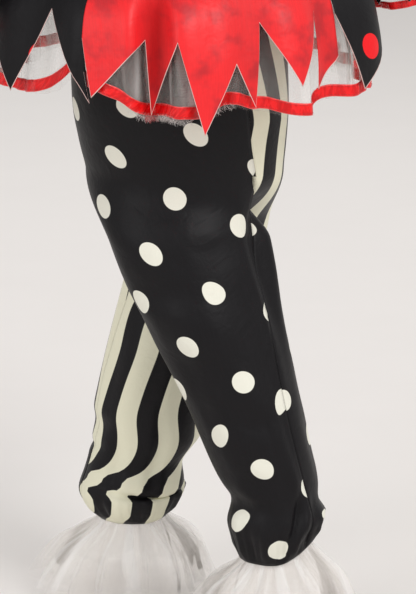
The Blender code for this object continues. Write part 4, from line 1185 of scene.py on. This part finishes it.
def trouser_piece(grid, side, step):
    """A front (step -1) or back (step 1), from the side seam to the crotch seam and inseam."""
    first = SIDE_COLUMN[side]
    to_crotch = first if step < 0 else OUTER_COLUMNS - first
    to_inseam = step * (INSEAM_COLUMN[side] - first) % AROUND
    columns = (first + step * np.arange(to_inseam + 1)) % AROUND
    piece = grid[:, columns].copy()
    body = len(BODY_ROWS) - 1
    piece[:body, to_crotch + 1 :] = np.nan
    for last, before, where in ((0, 1, slice(None)), (-1, -2, slice(body, None))):
        away = piece[where, before] - piece[where, last]
        piece[where, last] += away / np.linalg.norm(away, axis=1)[:, None] * LEG_SEAM / 2
    return piece


def along_grain(cut, drift, tilt=0.0):
    """The cut with the grain drawn straight, and its cross threads level."""
    drifted, right_across, right_down, left_across, left_down = read(drift, cut[..., 1])
    across = cut[..., 0] - drifted
    right = ease((across - FOLD_START) / FOLD_WIDTH)
    left = ease((-across - FOLD_START) / FOLD_WIDTH)
    down = cut[..., 1] + tilt * across + right * right_down + left * left_down
    return np.stack([across - right * right_across - left * left_across, down], -1)


# Even stripes along the cloth, half of each pair covered
STRIPES, given, outer = new_group("printed stripes", ("Stripe",), Width=0.020)
tree, width = STRIPES, given["Width"]
across = add_node(tree, "ShaderNodeSeparateXYZ", Vector=given["Cut"]).outputs[0]
half = maths(tree, "MULTIPLY", width, 0.5)
low, high = (maths(tree, way, half, PRINT_EDGE) for way in ("SUBTRACT", "ADD"))
feed(tree, outer, Stripe=ramped(tree, maths(tree, "PINGPONG", across, width), low, high))


def striped(tree, cut, paint):
    bars = use_group(tree, STRIPES, placed(tree, cut, -STRIPE / 2), Width=STRIPE)
    return blend_colours(tree, bars["Stripe"], paint, CREAM_STRIPE)


cream_dots = spotted(CREAM, CREAM_DOTS_APART, CREAM_DOT, CREAM_DOTS_START)
dot_print = satin("black satin with cream dots", "black_cream_dots", *black, print_on=cream_dots)
stripe_print = satin("cream and black striped satin", "black_cream_stripes", *black, print_on=striped)
for table, creases, side, word, finish, drift, tilt in (
    (LEG_DOTTED, FOLDS_DOTTED, -1, "dotted", dot_print, GRAIN_DOTTED, DOTTED_TILT),
    (LEG_STRIPED, FOLDS_STRIPED, 1, "striped", stripe_print, GRAIN_STRIPED, 0),
):
    grid = trouser_grid(table, creases, side)
    for step, part, grain in ((-1, "front", FRONT_GRAIN_COLUMN), (1, "back", BACK_GRAIN_COLUMN)):
        rows = trouser_piece(grid, side, step)
        cut = flat_cut(rows, grain)
        if part == "front":
            cut = along_grain(cut, drift, tilt)
        elif word == "dotted":
            cut = along_grain(cut, GRAIN_DOTTED_BACK) + (0, BACK_CUT_LOWER)
        node = f"trouser_{part}_{word}"
        piece = sew_cloth(node, "satin", rows, cut, finish, turned=side * step < 0)

# ----------------------------------------
# Ankle ruffles: three layers of soft cream tulle for each leg, raw at their lower edges.
# They are gathered together and sewn into the hem of the trousers.
RUFFLE = (  # height above its hem, radius, wave depth
    (0.000, 0.080, 0.0110), (0.022, 0.073, 0.0105), (0.045, 0.060, 0.0085),
    (0.061, 0.0410, 0.0032), (0.070, 0.0339, 0.0), (0.076, 0.0338, 0.0), (0.082, 0.0338, 0.0),
)
RUFFLE_HEM = 0.014
RUFFLE_HEIGHT = 0.082
RUFFLE_COLUMNS = 300
RUFFLE_ROWS = 26
RUFFLE_LIFT = 0.006
CRUSHED = 0.005
PUFFED = 0.010
FLARE_ANGLE = -105
LAYERS_APART = 0.0006
TULLE_LAYERS = (  # name, waves, inset at the hem, phase, length left off
    ("outer", 10, 0.0000, 0.0, 0.000),
    ("middle", 13, 0.0060, 0.9, 0.003),
    ("inner", 9, 0.0130, 2.1, 0.001),
)
TULLE_COLOUR = (1.0, 0.94, 0.88)

tulle = net("soft cream tulle", TULLE_COLOUR, 0.0011, 0.00026, 0.26, 0.07, 0.22, 0.6)
turn = 2 * math.pi * np.arange(RUFFLE_COLUMNS) / RUFFLE_COLUMNS
angle = np.degrees(turn)
for table, word, side, phase, flare in (
    (LEG_DOTTED, "dotted", -1, 0.4, 0.006),
    (LEG_STRIPED, "striped", 1, 1.9, 0.020),
):
    x, y = read(table, TROUSER_HEM)[:2]
    for layer, waves, inset, start, short in TULLE_LAYERS:
        rows = []
        for rise in np.linspace(RUFFLE_HEIGHT, short, RUFFLE_ROWS):
            radius, depth = read(RUFFLE, rise)
            low = 1 - rise / RUFFLE_HEIGHT
            wave = depth * np.sin(waves * turn + phase + start + 0.6 * np.sin(2 * turn + start))
            crushed = CRUSHED * ripples(angle, rise, 0.018, 30.0 + waves)
            puffed = ripples(angle, 0.6 * rise, 0.042, 40.0 + waves + side)
            reach = radius + wave + low * (crushed + PUFFED * puffed - inset)
            reach = reach - LAYERS_APART * (waves - 9) / 4
            reach = reach + flare * low * ease(np.cos(turn - math.radians(FLARE_ANGLE)))
            lift = RUFFLE_LIFT * np.sin(3 * turn + phase) * low + 0.005 * low * puffed
            lift = np.maximum(lift, -0.004) + hem_rise(angle, side) * (1 - low) ** 1.5
            rows.append(at(x + reach * np.sin(turn), y - reach * np.cos(turn), RUFFLE_HEM + rise + lift))
        rows = np.array(rows)
        worn = np.broadcast_to(np.linspace(0, 1, RUFFLE_ROWS)[:, None] ** 2, rows.shape[:2])
        node, cut = "ankle_ruffle_" + word, gathered_cut(rows)
        piece = sew_cloth(node, layer, rows, cut, tulle, loop=True, wall=0, raw_edge=worn)

# ----------------------------------------
# Camera, lights and floor: a long lens a little above the costume, three large soft lamps
# and a plain pale studio floor.
CAMERA_PLACE = (-0.7993, -3.0986, 0.1758)
CAMERA_TURN = -15.0
CAMERA_DIP = 13.73
LENS = 196.97
LAMPS_AIM = (0.0, 0.0, -0.5)
WALL_LIGHT = (1.0, 0.99, 0.985, 1.0)
WALL_STRENGTH = 0.66
FLOOR_LEVEL = -0.9405
FLOOR_CORNERS = ((-14, -8), (14, -8), (14, 24), (-14, 24))
PAPER = (0.80, 0.770, 0.745)
PAPER_PALE = (0.82, 0.790, 0.765)


def stand(name, data, place):
    thing = bpy.data.objects.new(name, data)
    thing.location = place
    scene.collection.objects.link(thing)
    return thing


camera_data = bpy.data.cameras.new("camera")
camera_data.lens = LENS
camera_data.sensor_width = 36.0
camera_data.clip_end = 60.0
scene.camera = stand("camera", camera_data, CAMERA_PLACE)
scene.camera.rotation_euler = (math.radians(90 - CAMERA_DIP), 0, math.radians(CAMERA_TURN))

for name, place, size, power in (
    ("key lamp", (1.3, -2.7, 2.0), 1.3, 62.0),
    ("fill lamp", (-2.4, -1.6, 0.9), 1.8, 20.0),
    ("back lamp", (0.6, 2.4, 1.8), 1.8, 20.0),
):
    lamp_data = bpy.data.lights.new(name, "AREA")
    lamp_data.size = size
    lamp_data.energy = power
    lamp = stand(name, lamp_data, place)
    lamp.rotation_euler = (Vector(LAMPS_AIM) - lamp.location).to_track_quat("-Z", "Y").to_euler()

scene.world = bpy.data.worlds.new("studio")
scene.world.use_nodes = True
walls = scene.world.node_tree
feed(walls, walls.nodes["Background"], Color=WALL_LIGHT, Strength=WALL_STRENGTH)
scene.view_settings.view_transform = "Standard"

paper, tree, surface = new_finish("studio paper")
fibres = cloud(tree, add_node(tree, "ShaderNodeTexCoord").outputs["Object"], 9.0, 3.0)[0]
pale = blend_colours(tree, fibres, PAPER, PAPER_PALE)
feed(tree, surface, Base_Color=pale, Roughness=0.9, Specular_IOR_Level=0.1)
floor_mesh = bpy.data.meshes.new("studio_floor")
floor_mesh.from_pydata([(x, y, FLOOR_LEVEL) for x, y in FLOOR_CORNERS], [], [(0, 1, 2, 3)])
floor_mesh.materials.append(paper)
stand("studio_floor", floor_mesh, (0, 0, 0))
